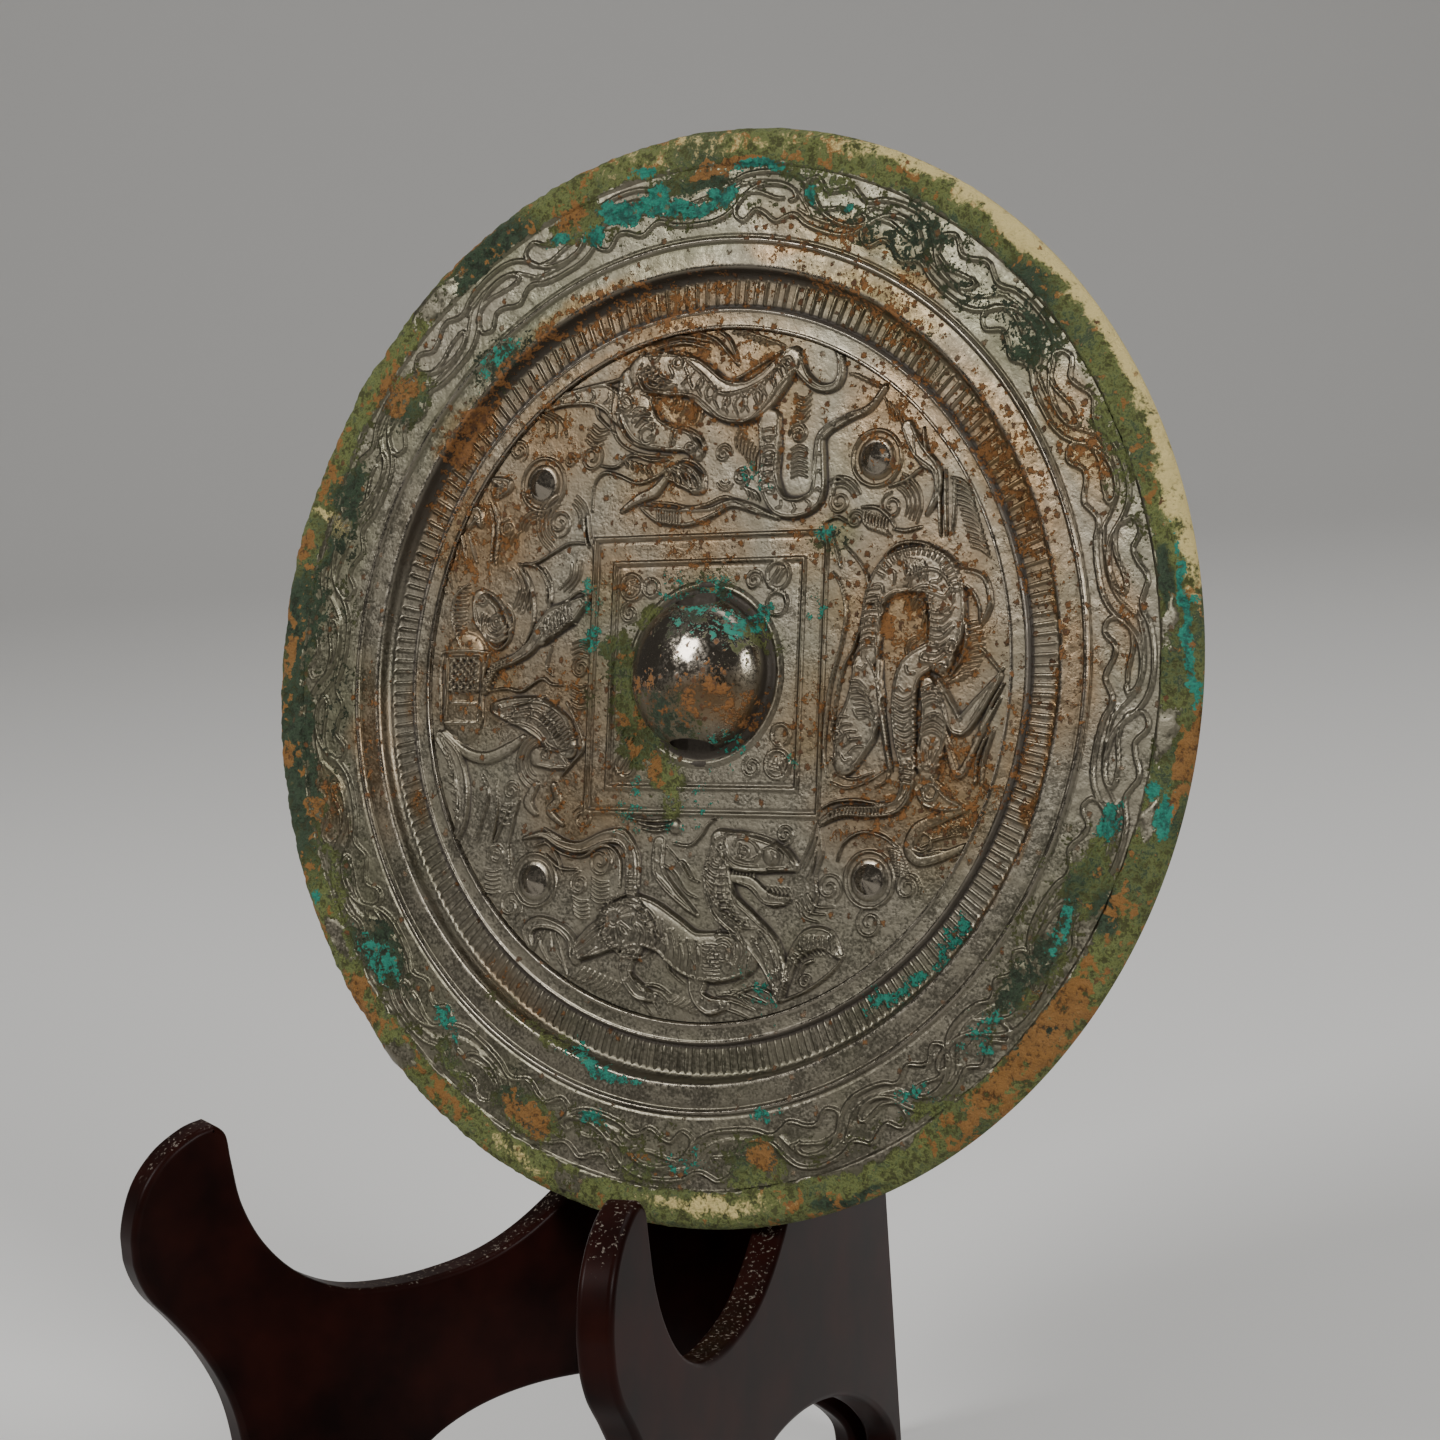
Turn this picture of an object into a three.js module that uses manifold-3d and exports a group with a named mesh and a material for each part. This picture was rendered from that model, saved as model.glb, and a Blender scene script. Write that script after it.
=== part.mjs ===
// A cast bronze mirror, ornamented back forward, leaning in a folding stand of two wooden boards.
// Millimetres, +Z up. The mirror looks towards -Y and +X is to its right.
// The origin is on the standing surface, under the middle of the whole object's box.
import * as THREE from 'three';
import { mergeVertices } from 'three/addons/utils/BufferGeometryUtils.js';
import Module from 'manifold-3d';

const wasm = await Module();
wasm.setup();

// ---- Driving dimensions ------------------------------------------------------------------

const RIM_RADIUS = 98.6;        // widest point of the disc's edge
const BACK_RADIUS = 96.6;       // the edge draws in towards the plain reflecting face
const LEAN = 15.2;              // degrees that the disc leans back
const SPIN = 2.8;               // degrees that the square stands turned anticlockwise
const CENTRE_HEIGHT = 162.6;    // centre of the reflecting face above the standing surface

const FIELD = 2.2;              // height of the figured field above the reflecting face
const RING_TOP = 3.2;           // the flat ring round the field
const RIM_TOP = 5.0;            // the raised rim
const BORDER_TOP = 5.5;         // the plain border along the edge
const RING = [62.3, 65.8];      // inner and outer radius of the flat ring
const COMB = [66.2, 71.0];      // the comb of radial teeth
const RIM_START = 73.4;         // shoulder of the raised rim
const RIM_LINE = 77.9;          // raised line between the plain and the scrolled band
const SCROLL = [79.2, 91.0];    // the band of cloud scrolls
const BORDER = [91.6, 96.2];    // the plain border
const DISC_SIDES = 72;

const KNOB_RADIUS = 14;
const KNOB_HEIGHT = 9.6;
const KNOB_RING = 16.6;         // foot of the low moulding round the knob
const CORD_HOLE = { halfWidth: 4.5, halfHeight: 2.6, lift: 2.9 };

const SQUARES = [25, 20.4];     // half sides of the two lines that frame the knob
const LINE = { width: 0.9, height: 0.45 };
const NIPPLES = [[-37.3, 36], [34.8, 36.3], [-36, -37.6], [36, -35.8]];
const NIPPLE = { radius: 3.5, height: 2.6, ring: 4.9 };
const TEETH = 90;               // the cast comb is finer: about 250
const SCROLLS = 18;

const BOARD = { thickness: 6.2, top: 148, halfAngle: 18.5, turn: -2.9 };
const HINGE = { x: 0.7, y: 36 };  // where the boards' rear edges meet, from the disc's centre
const BOARD_BEVEL = 0.9;
const GAP = 0.35;               // clearance that keeps touching pieces apart
const FACET_TOLERANCE = 0.1;

const BRONZE = new THREE.MeshStandardMaterial({ color: 0x77705f, roughness: 0.45, metalness: 0.8 });
const LACQUER = new THREE.MeshStandardMaterial({ color: 0x2a0d0a, roughness: 0.25, metalness: 0 });

// ---- Solids --------------------------------------------------------------------------------

const radians = THREE.MathUtils.degToRad;

// A closed geometry as a solid for joining and cutting.
function solid(geometry) {
  const bare = geometry.index ? geometry.toNonIndexed() : geometry.clone();
  bare.deleteAttribute('normal');
  bare.deleteAttribute('uv');
  const joined = mergeVertices(bare, 1e-4);
  return new wasm.Manifold(new wasm.Mesh({
    numProp: 3,
    vertProperties: joined.attributes.position.array,
    triVerts: Uint32Array.from(joined.index.array),
  }));
}

// The solid's triangles as a geometry.
function geometryOf(body) {
  const mesh = body.getMesh();
  const geometry = new THREE.BufferGeometry();
  geometry.setAttribute('position', new THREE.BufferAttribute(mesh.vertProperties, mesh.numProp));
  geometry.setIndex(new THREE.BufferAttribute(mesh.triVerts, 1));
  geometry.computeVertexNormals();
  return geometry;
}

// A bar that follows a path on the mirror's face, with sloping sides and a flat or sharp crest.
// widths run evenly along the path; the bar's foot is sunk a little into the face.
function ridge(points, widths, height, base, { crest = 0.45, steps = 1 } = {}) {
  const curve = new THREE.CatmullRomCurve3(
    points.map(([x, y]) => new THREE.Vector3(x, y, 0)), false, 'centripetal');
  const sunk = base - 0.5;
  const positions = [];
  const triangles = [];
  for (let i = 0; i <= steps; i += 1) {
    const t = i / steps;
    const at = curve.getPoint(t);
    const along = curve.getTangent(t);
    const place = t * (widths.length - 1);
    const low = Math.min(Math.floor(place), widths.length - 2);
    const width = THREE.MathUtils.lerp(widths[low], widths[low + 1], place - low);
    const rise = height * Math.min(1, width / (0.6 * Math.max(...widths)));
    const side = [-along.y, along.x];
    const top = crest > 0 ? [[crest / 2, base + rise], [-crest / 2, base + rise]] : [[0, base + rise]];
    for (const [offset, level] of [[-0.5, sunk], [0.5, sunk], ...top]) {
      positions.push(at.x + side[0] * width * offset, at.y + side[1] * width * offset, level);
    }
  }
  const corners = crest > 0 ? 4 : 3;
  for (let i = 0; i < steps; i += 1) {
    const a = corners * i;
    const b = a + corners;
    for (let k = 0; k < corners; k += 1) {
      const next = (k + 1) % corners;
      triangles.push(a + k, a + next, b + next, a + k, b + next, b + k);
    }
  }
  const last = corners * steps;
  for (let k = 1; k < corners - 1; k += 1) {
    triangles.push(0, k + 1, k, last, last + k, last + k + 1);
  }
  const geometry = new THREE.BufferGeometry();
  geometry.setAttribute('position', new THREE.Float32BufferAttribute(positions, 3));
  geometry.setIndex(triangles);
  const made = solid(geometry);
  return made.volume() < 0 ? solid(flipped(geometry)) : made;
}

function flipped(geometry) {
  const turned = geometry.clone();
  const index = Array.from(turned.index.array);
  for (let i = 0; i < index.length; i += 3) [index[i], index[i + 1]] = [index[i + 1], index[i]];
  turned.setIndex(index);
  return turned;
}

// A body of revolution about the mirror's axis through (x, y), from a profile of [radius, height].
function turned(profile, sides, x = 0, y = 0) {
  const geometry = new THREE.LatheGeometry(profile.map(([r, z]) => new THREE.Vector2(r, z)), sides);
  geometry.rotateX(Math.PI / 2);
  geometry.translate(x, y, 0);
  const made = solid(geometry);
  return made.volume() < 0 ? solid(flipped(geometry)) : made;
}

// ---- The disc ------------------------------------------------------------------------------

function disc() {
  const shoulder = RIM_START - COMB[1];
  return turned([
    [0, 0],
    [BACK_RADIUS, 0],
    [RIM_RADIUS, 3.6],
    [BORDER[1] + 1, BORDER_TOP - 0.5],
    [BORDER[1], BORDER_TOP],
    [BORDER[0], BORDER_TOP],
    [SCROLL[1], RIM_TOP],
    [RIM_LINE + 0.7, RIM_TOP],
    [RIM_LINE, RIM_TOP + LINE.height],
    [RIM_LINE - 0.7, RIM_TOP],
    [RIM_START + 0.8, RIM_TOP],
    [RIM_START, RIM_TOP - 0.3],
    [COMB[1] + 0.25 * shoulder, FIELD + 0.5],
    [COMB[1], FIELD],
    [COMB[0], FIELD],
    [RING[1], RING_TOP],
    [RING[0] + 0.3, RING_TOP],
    [RING[0], FIELD],
    [0, FIELD],
  ], DISC_SIDES);
}

function comb() {
  const teeth = [];
  for (let i = 0; i < TEETH; i += 1) {
    const angle = (2 * Math.PI * i) / TEETH;
    const ends = [COMB[0] + 0.2, COMB[1] - 0.3];
    const path = ends.map((r) => [r * Math.cos(angle), r * Math.sin(angle)]);
    teeth.push(ridge(path, [1.2, 1.2], 0.5, FIELD, { crest: 0, steps: 1 }));
  }
  return teeth;
}

// Each scroll starts as a wavy line, swings across the band and hooks back; the next one is its
// reflection in the band's middle.
function scrolls() {
  const middle = (SCROLL[0] + SCROLL[1]) / 2;
  const swing = [[-9, -4.3], [-5, -4.8], [-1, -4.6], [3, 0.8], [6, 3.4], [9.5, 2.8], [10.6, -0.6]];
  const made = [];
  for (let i = 0; i < SCROLLS; i += 1) {
    for (const side of [1, -1]) {
      const start = (360 / SCROLLS) * (i + (side > 0 ? 0 : 0.5));
      const path = swing.map(([turn, rise]) => {
        const angle = radians(start - turn);
        const radius = middle + side * rise;
        return [radius * Math.cos(angle), radius * Math.sin(angle)];
      });
      made.push(ridge(path, [0.9, 1.4, 1.5, 1], LINE.height + 0.1, RIM_TOP, { crest: 0, steps: 7 }));
    }
  }
  return made;
}

function squareLines() {
  return SQUARES.flatMap((half) => [0, 1, 2, 3].map((quarter) => {
    const reach = half + LINE.width / 2;
    const side = [[-reach, half], [reach, half]];
    const line = ridge(side, [LINE.width, LINE.width], LINE.height, FIELD);
    return line.rotate([0, 0, 90 * quarter]);
  }));
}

function nipples() {
  return NIPPLES.flatMap(([x, y]) => {
    const { radius, height, ring } = NIPPLE;
    const sunk = FIELD - 0.5;
    const dome = turned([
      [0, sunk],
      [radius, sunk],
      [0.97 * radius, FIELD + 0.25 * height],
      [0.6 * radius, FIELD + 0.7 * height],
      [0, FIELD + height],
    ], 12, x, y);
    const hoop = turned([
      [ring - 0.6, sunk],
      [ring + 0.6, sunk],
      [ring, FIELD + 0.6],
      [ring - 0.6, sunk],
    ], 14, x, y);
    return [dome, hoop];
  });
}

// The dome that a cord passes through, from its lower side to its upper side.
function knob() {
  const profile = [
    [0, FIELD - 0.5],
    [KNOB_RING, FIELD - 0.5],
    [KNOB_RING, FIELD + 0.1],
    [KNOB_RADIUS + 0.5, FIELD + 0.9],
  ];
  const steps = 6;
  for (let i = 0; i <= steps; i += 1) {
    const angle = (Math.PI / 2) * (i / steps);
    profile.push([KNOB_RADIUS * Math.cos(angle), FIELD + 1 + (KNOB_HEIGHT - 1) * Math.sin(angle)]);
  }
  profile[profile.length - 1][0] = 0;
  const dome = turned(profile, 30);
  const section = new THREE.Shape();
  section.absellipse(0, 0, CORD_HOLE.halfWidth, CORD_HOLE.halfHeight, 0, 2 * Math.PI);
  const bore = new THREE.ExtrudeGeometry(section, {
    depth: 4 * KNOB_RADIUS,
    bevelEnabled: false,
    curveSegments: 5,
  });
  bore.translate(0, 0, -2 * KNOB_RADIUS);
  bore.rotateX(Math.PI / 2);
  bore.translate(0, 0, FIELD + CORD_HOLE.lift);
  return dome.subtract(solid(bore));
}

// ---- The figures of the field --------------------------------------------------------------
// Each stroke is a path on the face, widths along it and a height. The square's frame of
// reference is used: x to the right, y up.

const UPPER_BEAST = [
  [[[-15, 56], [-9, 55.5], [-3, 54], [2, 49.5], [7, 47.5], [12, 50.5], [17, 56]],
    [6, 7.5, 6, 5.5, 5], 1.5],
  [[[-17, 56], [-19.5, 50], [-17, 44.5], [-11, 43], [-5, 41.5]], [5, 6, 6, 4, 2.5], 1.4],
  [[[-38, 50], [-30, 51.5], [-24, 51], [-19, 47]], [1, 3, 3, 2], 0.8],
  [[[10.5, 45.5], [11.5, 38], [14, 31.5], [19, 29.5], [23, 32], [23.8, 39], [26, 43], [36, 50]],
    [4, 4.5, 3.5, 2, 1.6, 1], 1.1],
  [[[18, 55], [21.5, 50.5], [26, 51], [27.5, 56], [23, 59]], [3, 2.2, 2, 1.2], 0.9],
  [[[-15, 30.5], [-9, 28], [-2, 29], [5, 30.5], [14, 27.8]], [1, 3, 2, 0.8], 0.8],
  [[[-24, 30], [-23, 36], [-16, 36], [-9, 38], [-3, 35]], [1, 1.6, 1.6, 3.5, 2.5], 0.9],
];

const RIGHT_DRAGON = [
  [[[34, 4], [34.5, 12], [38, 18.5], [44, 20.5], [49, 17], [51.5, 11], [49, 4.5]],
    [3, 5, 5, 4.5, 5, 4.5], 1.5],
  [[[48, 4], [43.5, 0], [41.5, -6], [42, -12], [44, -17]], [5, 5, 4.5, 4, 3], 1.3],
  [[[45.5, -1], [47.5, -7], [49, -13]], [4, 4.5, 3], 1.0],
  [[[33, 2], [34.5, -5], [32, -11], [30, -16]], [3, 7, 8, 3], 1.4],
  [[[35.5, 0], [38, -8], [39.5, -17]], [1.4, 1.4, 0.9], 0.8],
  [[[28.5, 22.5], [33, 16.5], [32.5, 8], [29, -1], [26.8, -9]], [0.8, 1.6, 1.6, 1.2], 0.8],
  [[[42, -16], [41.5, -21.5], [36, -24.3], [28.5, -24.8]], [2.5, 2.5, 1.6, 0.8], 0.9],
  [[[53.5, -23], [46.5, -25], [44.5, -28], [48.5, -31], [56, -28]], [0.9, 2, 2, 1], 0.8],
  [[[54, -14], [57, -8], [61, -1]], [3, 3.5, 1], 0.9],
  [[[41, 41], [47, 34.5], [48.5, 28], [53, 20]], [1, 1.6, 1.6, 2.5], 0.8],
];

const LOWER_BEAST = [
  [[[5.5, -30], [3.3, -36], [5, -42], [11, -45.5], [16.5, -50], [18.5, -57]], [4, 5, 5, 6, 5, 2], 1.4],
  [[[5, -29], [10, -30.5], [15, -31.5], [20.5, -33]], [3, 5.5, 5, 2], 1.5],
  [[[7.5, -36], [12, -36.5], [15, -39.5], [19.5, -40.5]], [2, 2.2, 2, 1], 1.0],
  [[[9, -50], [2, -50], [-5, -47], [-12, -44.5], [-18, -45]], [7, 8, 6.5, 7, 6], 1.5],
  [[[-17, -45.5], [-25, -50.5], [-29, -46], [-35, -46.5], [-35, -50], [-29.5, -54]],
    [7, 5, 2.5, 2, 2, 1], 1.2],
  [[[-13, -48], [-14.5, -54], [-10, -58], [-5, -59.5]], [4, 2.5, 2.5, 1.5], 1.0],
  [[[2, -53], [1.5, -57.5], [5, -59.8], [13, -58.5]], [4, 2.5, 2.5, 1], 1.0],
  [[[-14.5, -40], [-15.5, -34], [-14.5, -30], [-20, -29.5], [-26, -32], [-34, -30]],
    [2.5, 2.5, 2.5, 2, 0.9], 0.9],
  [[[20.5, -55], [22.5, -48], [27, -45.5], [31, -49]], [1, 2.5, 3, 1], 0.8],
  [[[-8, -30], [-8, -36], [-4, -39], [0, -43]], [2, 2.5, 2, 0.9], 0.7],
];

const CARRIAGE = [
  [[[-55, 5], [-55, -9]], [10.5, 10.5], 1.2],
  [[[-52, 16.5], [-46.5, 13.5], [-44, 9], [-46.5, 5.5], [-50, 9], [-52.5, 13]],
    [1, 1.5, 1.5, 1, 1], 1.0],
  [[[-56, 17], [-57.7, 11], [-55, 6]], [2.2, 2.2, 2.2], 0.7],
  [[[-49.5, -2], [-46.5, 2], [-40, 4], [-34, 8], [-27, 14.5]], [2, 2.2, 2.2, 4.5, 2.5], 1.2],
  [[[-42, 21.5], [-38.3, 15], [-39, 8], [-43, 4]], [1, 1.6, 1.6, 1], 0.8],
  [[[-46, -5.5], [-38, -7], [-31, -10], [-26.5, -14.5]], [3, 6, 6.5, 2.5], 1.3],
  [[[-58, -11], [-51, -14.5], [-44, -14.5], [-39, -11.5]], [1.5, 2.5, 2, 1], 0.9],
  [[[-60, -12], [-54, -17], [-52, -24], [-55, -31]], [2.5, 3.5, 3.5, 1.5], 1.0],
  [[[-49.5, 33], [-48, 27], [-48.5, 22]], [2.5, 2.5, 2], 0.8],
  [[[-35.5, -16.5], [-31, -18.5], [-33, -23], [-30, -27.5]], [5, 4, 2, 1.5], 0.9],
];

function figures() {
  const strokes = [...UPPER_BEAST, ...RIGHT_DRAGON, ...LOWER_BEAST, ...CARRIAGE];
  return strokes.map(([path, widths, height]) => ridge(path, widths, height, FIELD, {
    crest: Math.max(...widths) > 3 ? 0.5 : 0,
    steps: Math.max(1, Math.round(1.4 * (path.length - 1))),
  }));
}

function mirror() {
  const cast = [knob(), ...squareLines(), ...nipples(), ...figures(), ...comb(), ...scrolls()];
  const pattern = wasm.Manifold.union(cast).rotate([0, 0, SPIN]);
  const body = disc().add(pattern).simplify(FACET_TOLERANCE);
  const mesh = new THREE.Mesh(geometryOf(body), BRONZE);
  mesh.name = 'mirror';
  mesh.rotation.x = Math.PI / 2 - radians(LEAN);
  mesh.position.set(0, 0, CENTRE_HEIGHT);
  return mesh;
}

// ---- The stand -----------------------------------------------------------------------------
// One board's outline: distance forward from the rear edge, and height.

function boardOutline() {
  const slope = Math.tan(radians(LEAN)) / Math.cos(radians(BOARD.halfAngle));
  const frontAt = (z) => 63.2 - slope * (z - 68.2);
  const through = (outline, points) => {
    outline.splineThru(points.map(([u, z]) => new THREE.Vector2(u, z)));
  };
  const { top } = BOARD;
  const outline = new THREE.Shape();
  outline.moveTo(0, 0);
  outline.lineTo(0, top - 10);
  outline.quadraticCurveTo(0, top, 10, top);
  outline.lineTo(frontAt(top) - 8, top);
  outline.quadraticCurveTo(frontAt(top) + 1, top, frontAt(top - 9), top - 9);
  outline.lineTo(frontAt(71.2), 71.2);
  // the seat's hollow, then the hook in front of it, the neck and the foot
  through(outline, [[66.4, 68.4], [74, 64.6], [82, 62.2], [91, 61.4], [101, 61.8], [111, 64],
    [119.5, 69], [125.5, 76], [129, 84], [130.2, 92], [130.8, 97]]);
  through(outline, [[133, 99.3], [137, 98.6], [142.5, 95.8], [147, 91], [149.6, 84.5], [150, 78.5],
    [148, 72.2], [143.5, 66], [139, 59], [135.3, 50.5], [133.6, 42], [133.4, 33]]);
  through(outline, [[134.2, 22], [136.4, 11], [139.5, 0]]);
  // the arch between the feet
  outline.lineTo(108, 0);
  through(outline, [[107.5, 12], [104.5, 22.5], [98.5, 30], [88, 34.2], [75, 35.3], [60, 33.6],
    [45, 29.8], [31, 24.4], [19, 17.8], [10, 11], [5.4, 5.5], [4.6, 0]]);
  outline.closePath();
  return outline;
}

// side is -1 for the left board and 1 for the right one. The inner faces meet at the hinge line.
function board(name, side) {
  const geometry = new THREE.ExtrudeGeometry(boardOutline(), {
    depth: BOARD.thickness - 2 * BOARD_BEVEL,
    bevelEnabled: true,
    bevelThickness: BOARD_BEVEL,
    bevelSize: BOARD_BEVEL,
    bevelOffset: -BOARD_BEVEL,
    bevelSegments: 1,
    curveSegments: 2,
  });
  const middle = (-side * (BOARD.thickness + GAP)) / 2;
  geometry.translate(0, 0, BOARD_BEVEL - BOARD.thickness / 2 + middle);
  const mesh = new THREE.Mesh(geometryOf(solid(geometry)), LACQUER);
  mesh.name = name;
  // the outline's x runs forward from the hinge, its y is up, and its thickness lies to the left
  const turn = radians(BOARD.turn + side * BOARD.halfAngle);
  const forward = new THREE.Vector3(Math.sin(turn), -Math.cos(turn), 0);
  const up = new THREE.Vector3(0, 0, 1);
  const left = new THREE.Vector3().crossVectors(forward, up);
  mesh.rotation.setFromRotationMatrix(new THREE.Matrix4().makeBasis(forward, up, left));
  mesh.position.set(HINGE.x, HINGE.y, 0);
  return mesh;
}

// ---- Assembly ------------------------------------------------------------------------------

const group = new THREE.Group();
group.name = 'bronze_mirror_on_stand';
group.add(mirror(), board('stand_board_left', -1), board('stand_board_right', 1));
group.updateMatrixWorld(true);
const box = new THREE.Box3().setFromObject(group, true);
const centre = box.getCenter(new THREE.Vector3());
group.position.set(-centre.x, -centre.y, -box.min.z);
group.updateMatrixWorld(true);

export default group;
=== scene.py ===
"""A cast bronze mirror, figured back forward, leaning in a V-shaped stand of two lacquered boards."""

import math

import bpy
import numpy as np
from mathutils.geometry import tessellate_polygon
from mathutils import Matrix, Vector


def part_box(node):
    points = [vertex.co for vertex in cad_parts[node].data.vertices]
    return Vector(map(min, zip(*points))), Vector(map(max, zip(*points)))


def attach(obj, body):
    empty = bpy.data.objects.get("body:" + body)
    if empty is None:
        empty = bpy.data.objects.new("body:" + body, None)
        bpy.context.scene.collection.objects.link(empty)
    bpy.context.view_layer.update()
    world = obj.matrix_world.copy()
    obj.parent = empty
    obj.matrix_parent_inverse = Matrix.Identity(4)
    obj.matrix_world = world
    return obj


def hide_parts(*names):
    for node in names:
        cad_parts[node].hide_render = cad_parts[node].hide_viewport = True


bl_info = {
    "name": "Bronze mirror on a stand",
    "version": (1, 0, 0),
    "blender": (4, 5, 0),
    "location": "View3D > Sidebar > Mirror",
    "description": "Builds a figured bronze mirror, its patina and its lacquered stand",
    "category": "Add Mesh",
}

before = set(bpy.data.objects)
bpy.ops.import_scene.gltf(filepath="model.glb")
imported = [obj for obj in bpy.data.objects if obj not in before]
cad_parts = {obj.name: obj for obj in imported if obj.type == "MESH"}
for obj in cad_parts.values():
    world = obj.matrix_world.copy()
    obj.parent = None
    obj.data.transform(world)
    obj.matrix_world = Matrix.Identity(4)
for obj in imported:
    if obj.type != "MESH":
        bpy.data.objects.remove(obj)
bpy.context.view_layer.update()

MM = 0.001
LEAN = math.radians(15.2)
SPIN = math.radians(2.8)

# Radii and heights of the disc in millimetres; heights are above the plain reflecting face.
RIM_RADIUS = 98.6
RIM_LEVEL = 3.6
BACK_RADIUS = 96.6
FIELD = 2.2
FIELD_RADIUS = 62.0
RIM_TOP = 5.0
UNDER = 1.0
KNOB_FOOT = 17.0
BAND_RADIUS = 85.0


def disc_centre():
    """The centre of the reflecting face, from the box of the solid disc."""
    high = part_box("mirror")[1]
    return np.array([
        0.0,
        high.y - BACK_RADIUS * MM * math.sin(LEAN),
        high.z - RIM_RADIUS * MM * math.cos(LEAN) - RIM_LEVEL * MM * math.sin(LEAN),
    ])


CENTRE = disc_centre()


# ---- Numbers ---------------------------------------------------------------------------------


def placed(x, y, w):
    """Face coordinates in millimetres to the frame in metres: turned by SPIN in the face, leaned
    back by LEAN, then moved to the disc's centre."""
    u = x * math.cos(SPIN) - y * math.sin(SPIN)
    v = x * math.sin(SPIN) + y * math.cos(SPIN)
    back = v * math.sin(LEAN) - w * math.cos(LEAN)
    rise = v * math.cos(LEAN) + w * math.sin(LEAN)
    return np.stack([u, back, rise], -1) * MM + CENTRE


def step_up(value, low, high):
    """0 below low, 1 above high, and 3 t^2 - 2 t^3 between."""
    t = np.clip((value - low) / (high - low), 0, 1)
    return t * t * (3 - 2 * t)


def mottle(x, y, size, seed, octaves=3):
    """Value noise from 0 to 1: random numbers on a lattice of the given size, joined smoothly,
    and halved in size and strength for each further octave."""
    table = np.random.default_rng(seed).random((128, 128))
    total, weight = 0.0, 0.0
    for octave in range(octaves):
        u, v = x / size * 2 ** octave + 17.3 * octave, y / size * 2 ** octave + 9.1 * octave
        i, j = np.floor(u).astype(int), np.floor(v).astype(int)
        a, b = u - i, v - j
        a, b = a * a * (3 - 2 * a), b * b * (3 - 2 * b)
        low = table[j % 128, i % 128] * (1 - a) + table[j % 128, (i + 1) % 128] * a
        top = table[(j + 1) % 128, i % 128] * (1 - a) + table[(j + 1) % 128, (i + 1) % 128] * a
        total = total + (low * (1 - b) + top * b) * 0.5 ** octave
        weight += 0.5 ** octave
    return total / weight


def smooth(points, each=6):
    """A Catmull-Rom path through the points, each piece cut into the given number of steps."""
    p = np.asarray(points, float)
    p = np.vstack([p[:1], p, p[-1:]])
    t = (np.arange(each) / each)[None, :, None]
    a, b, c, d = (p[i:len(p) - 3 + i, None] for i in range(4))
    path = 0.5 * (2 * b + (c - a) * t + (2 * a - 5 * b + 4 * c - d) * t ** 2
                  + (3 * b - a - 3 * c + d) * t ** 3)
    return np.vstack([path.reshape(-1, 2), p[-1:]])


CROWNS = {
    "round": lambda d: np.sqrt(np.clip(1 - d * d, 0, 1)),
    "tent": lambda d: np.clip(1 - d, 0, 1),
    "pillow": lambda d: np.sqrt(np.clip(1 - d ** 6, 0, 1)),
}


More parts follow.
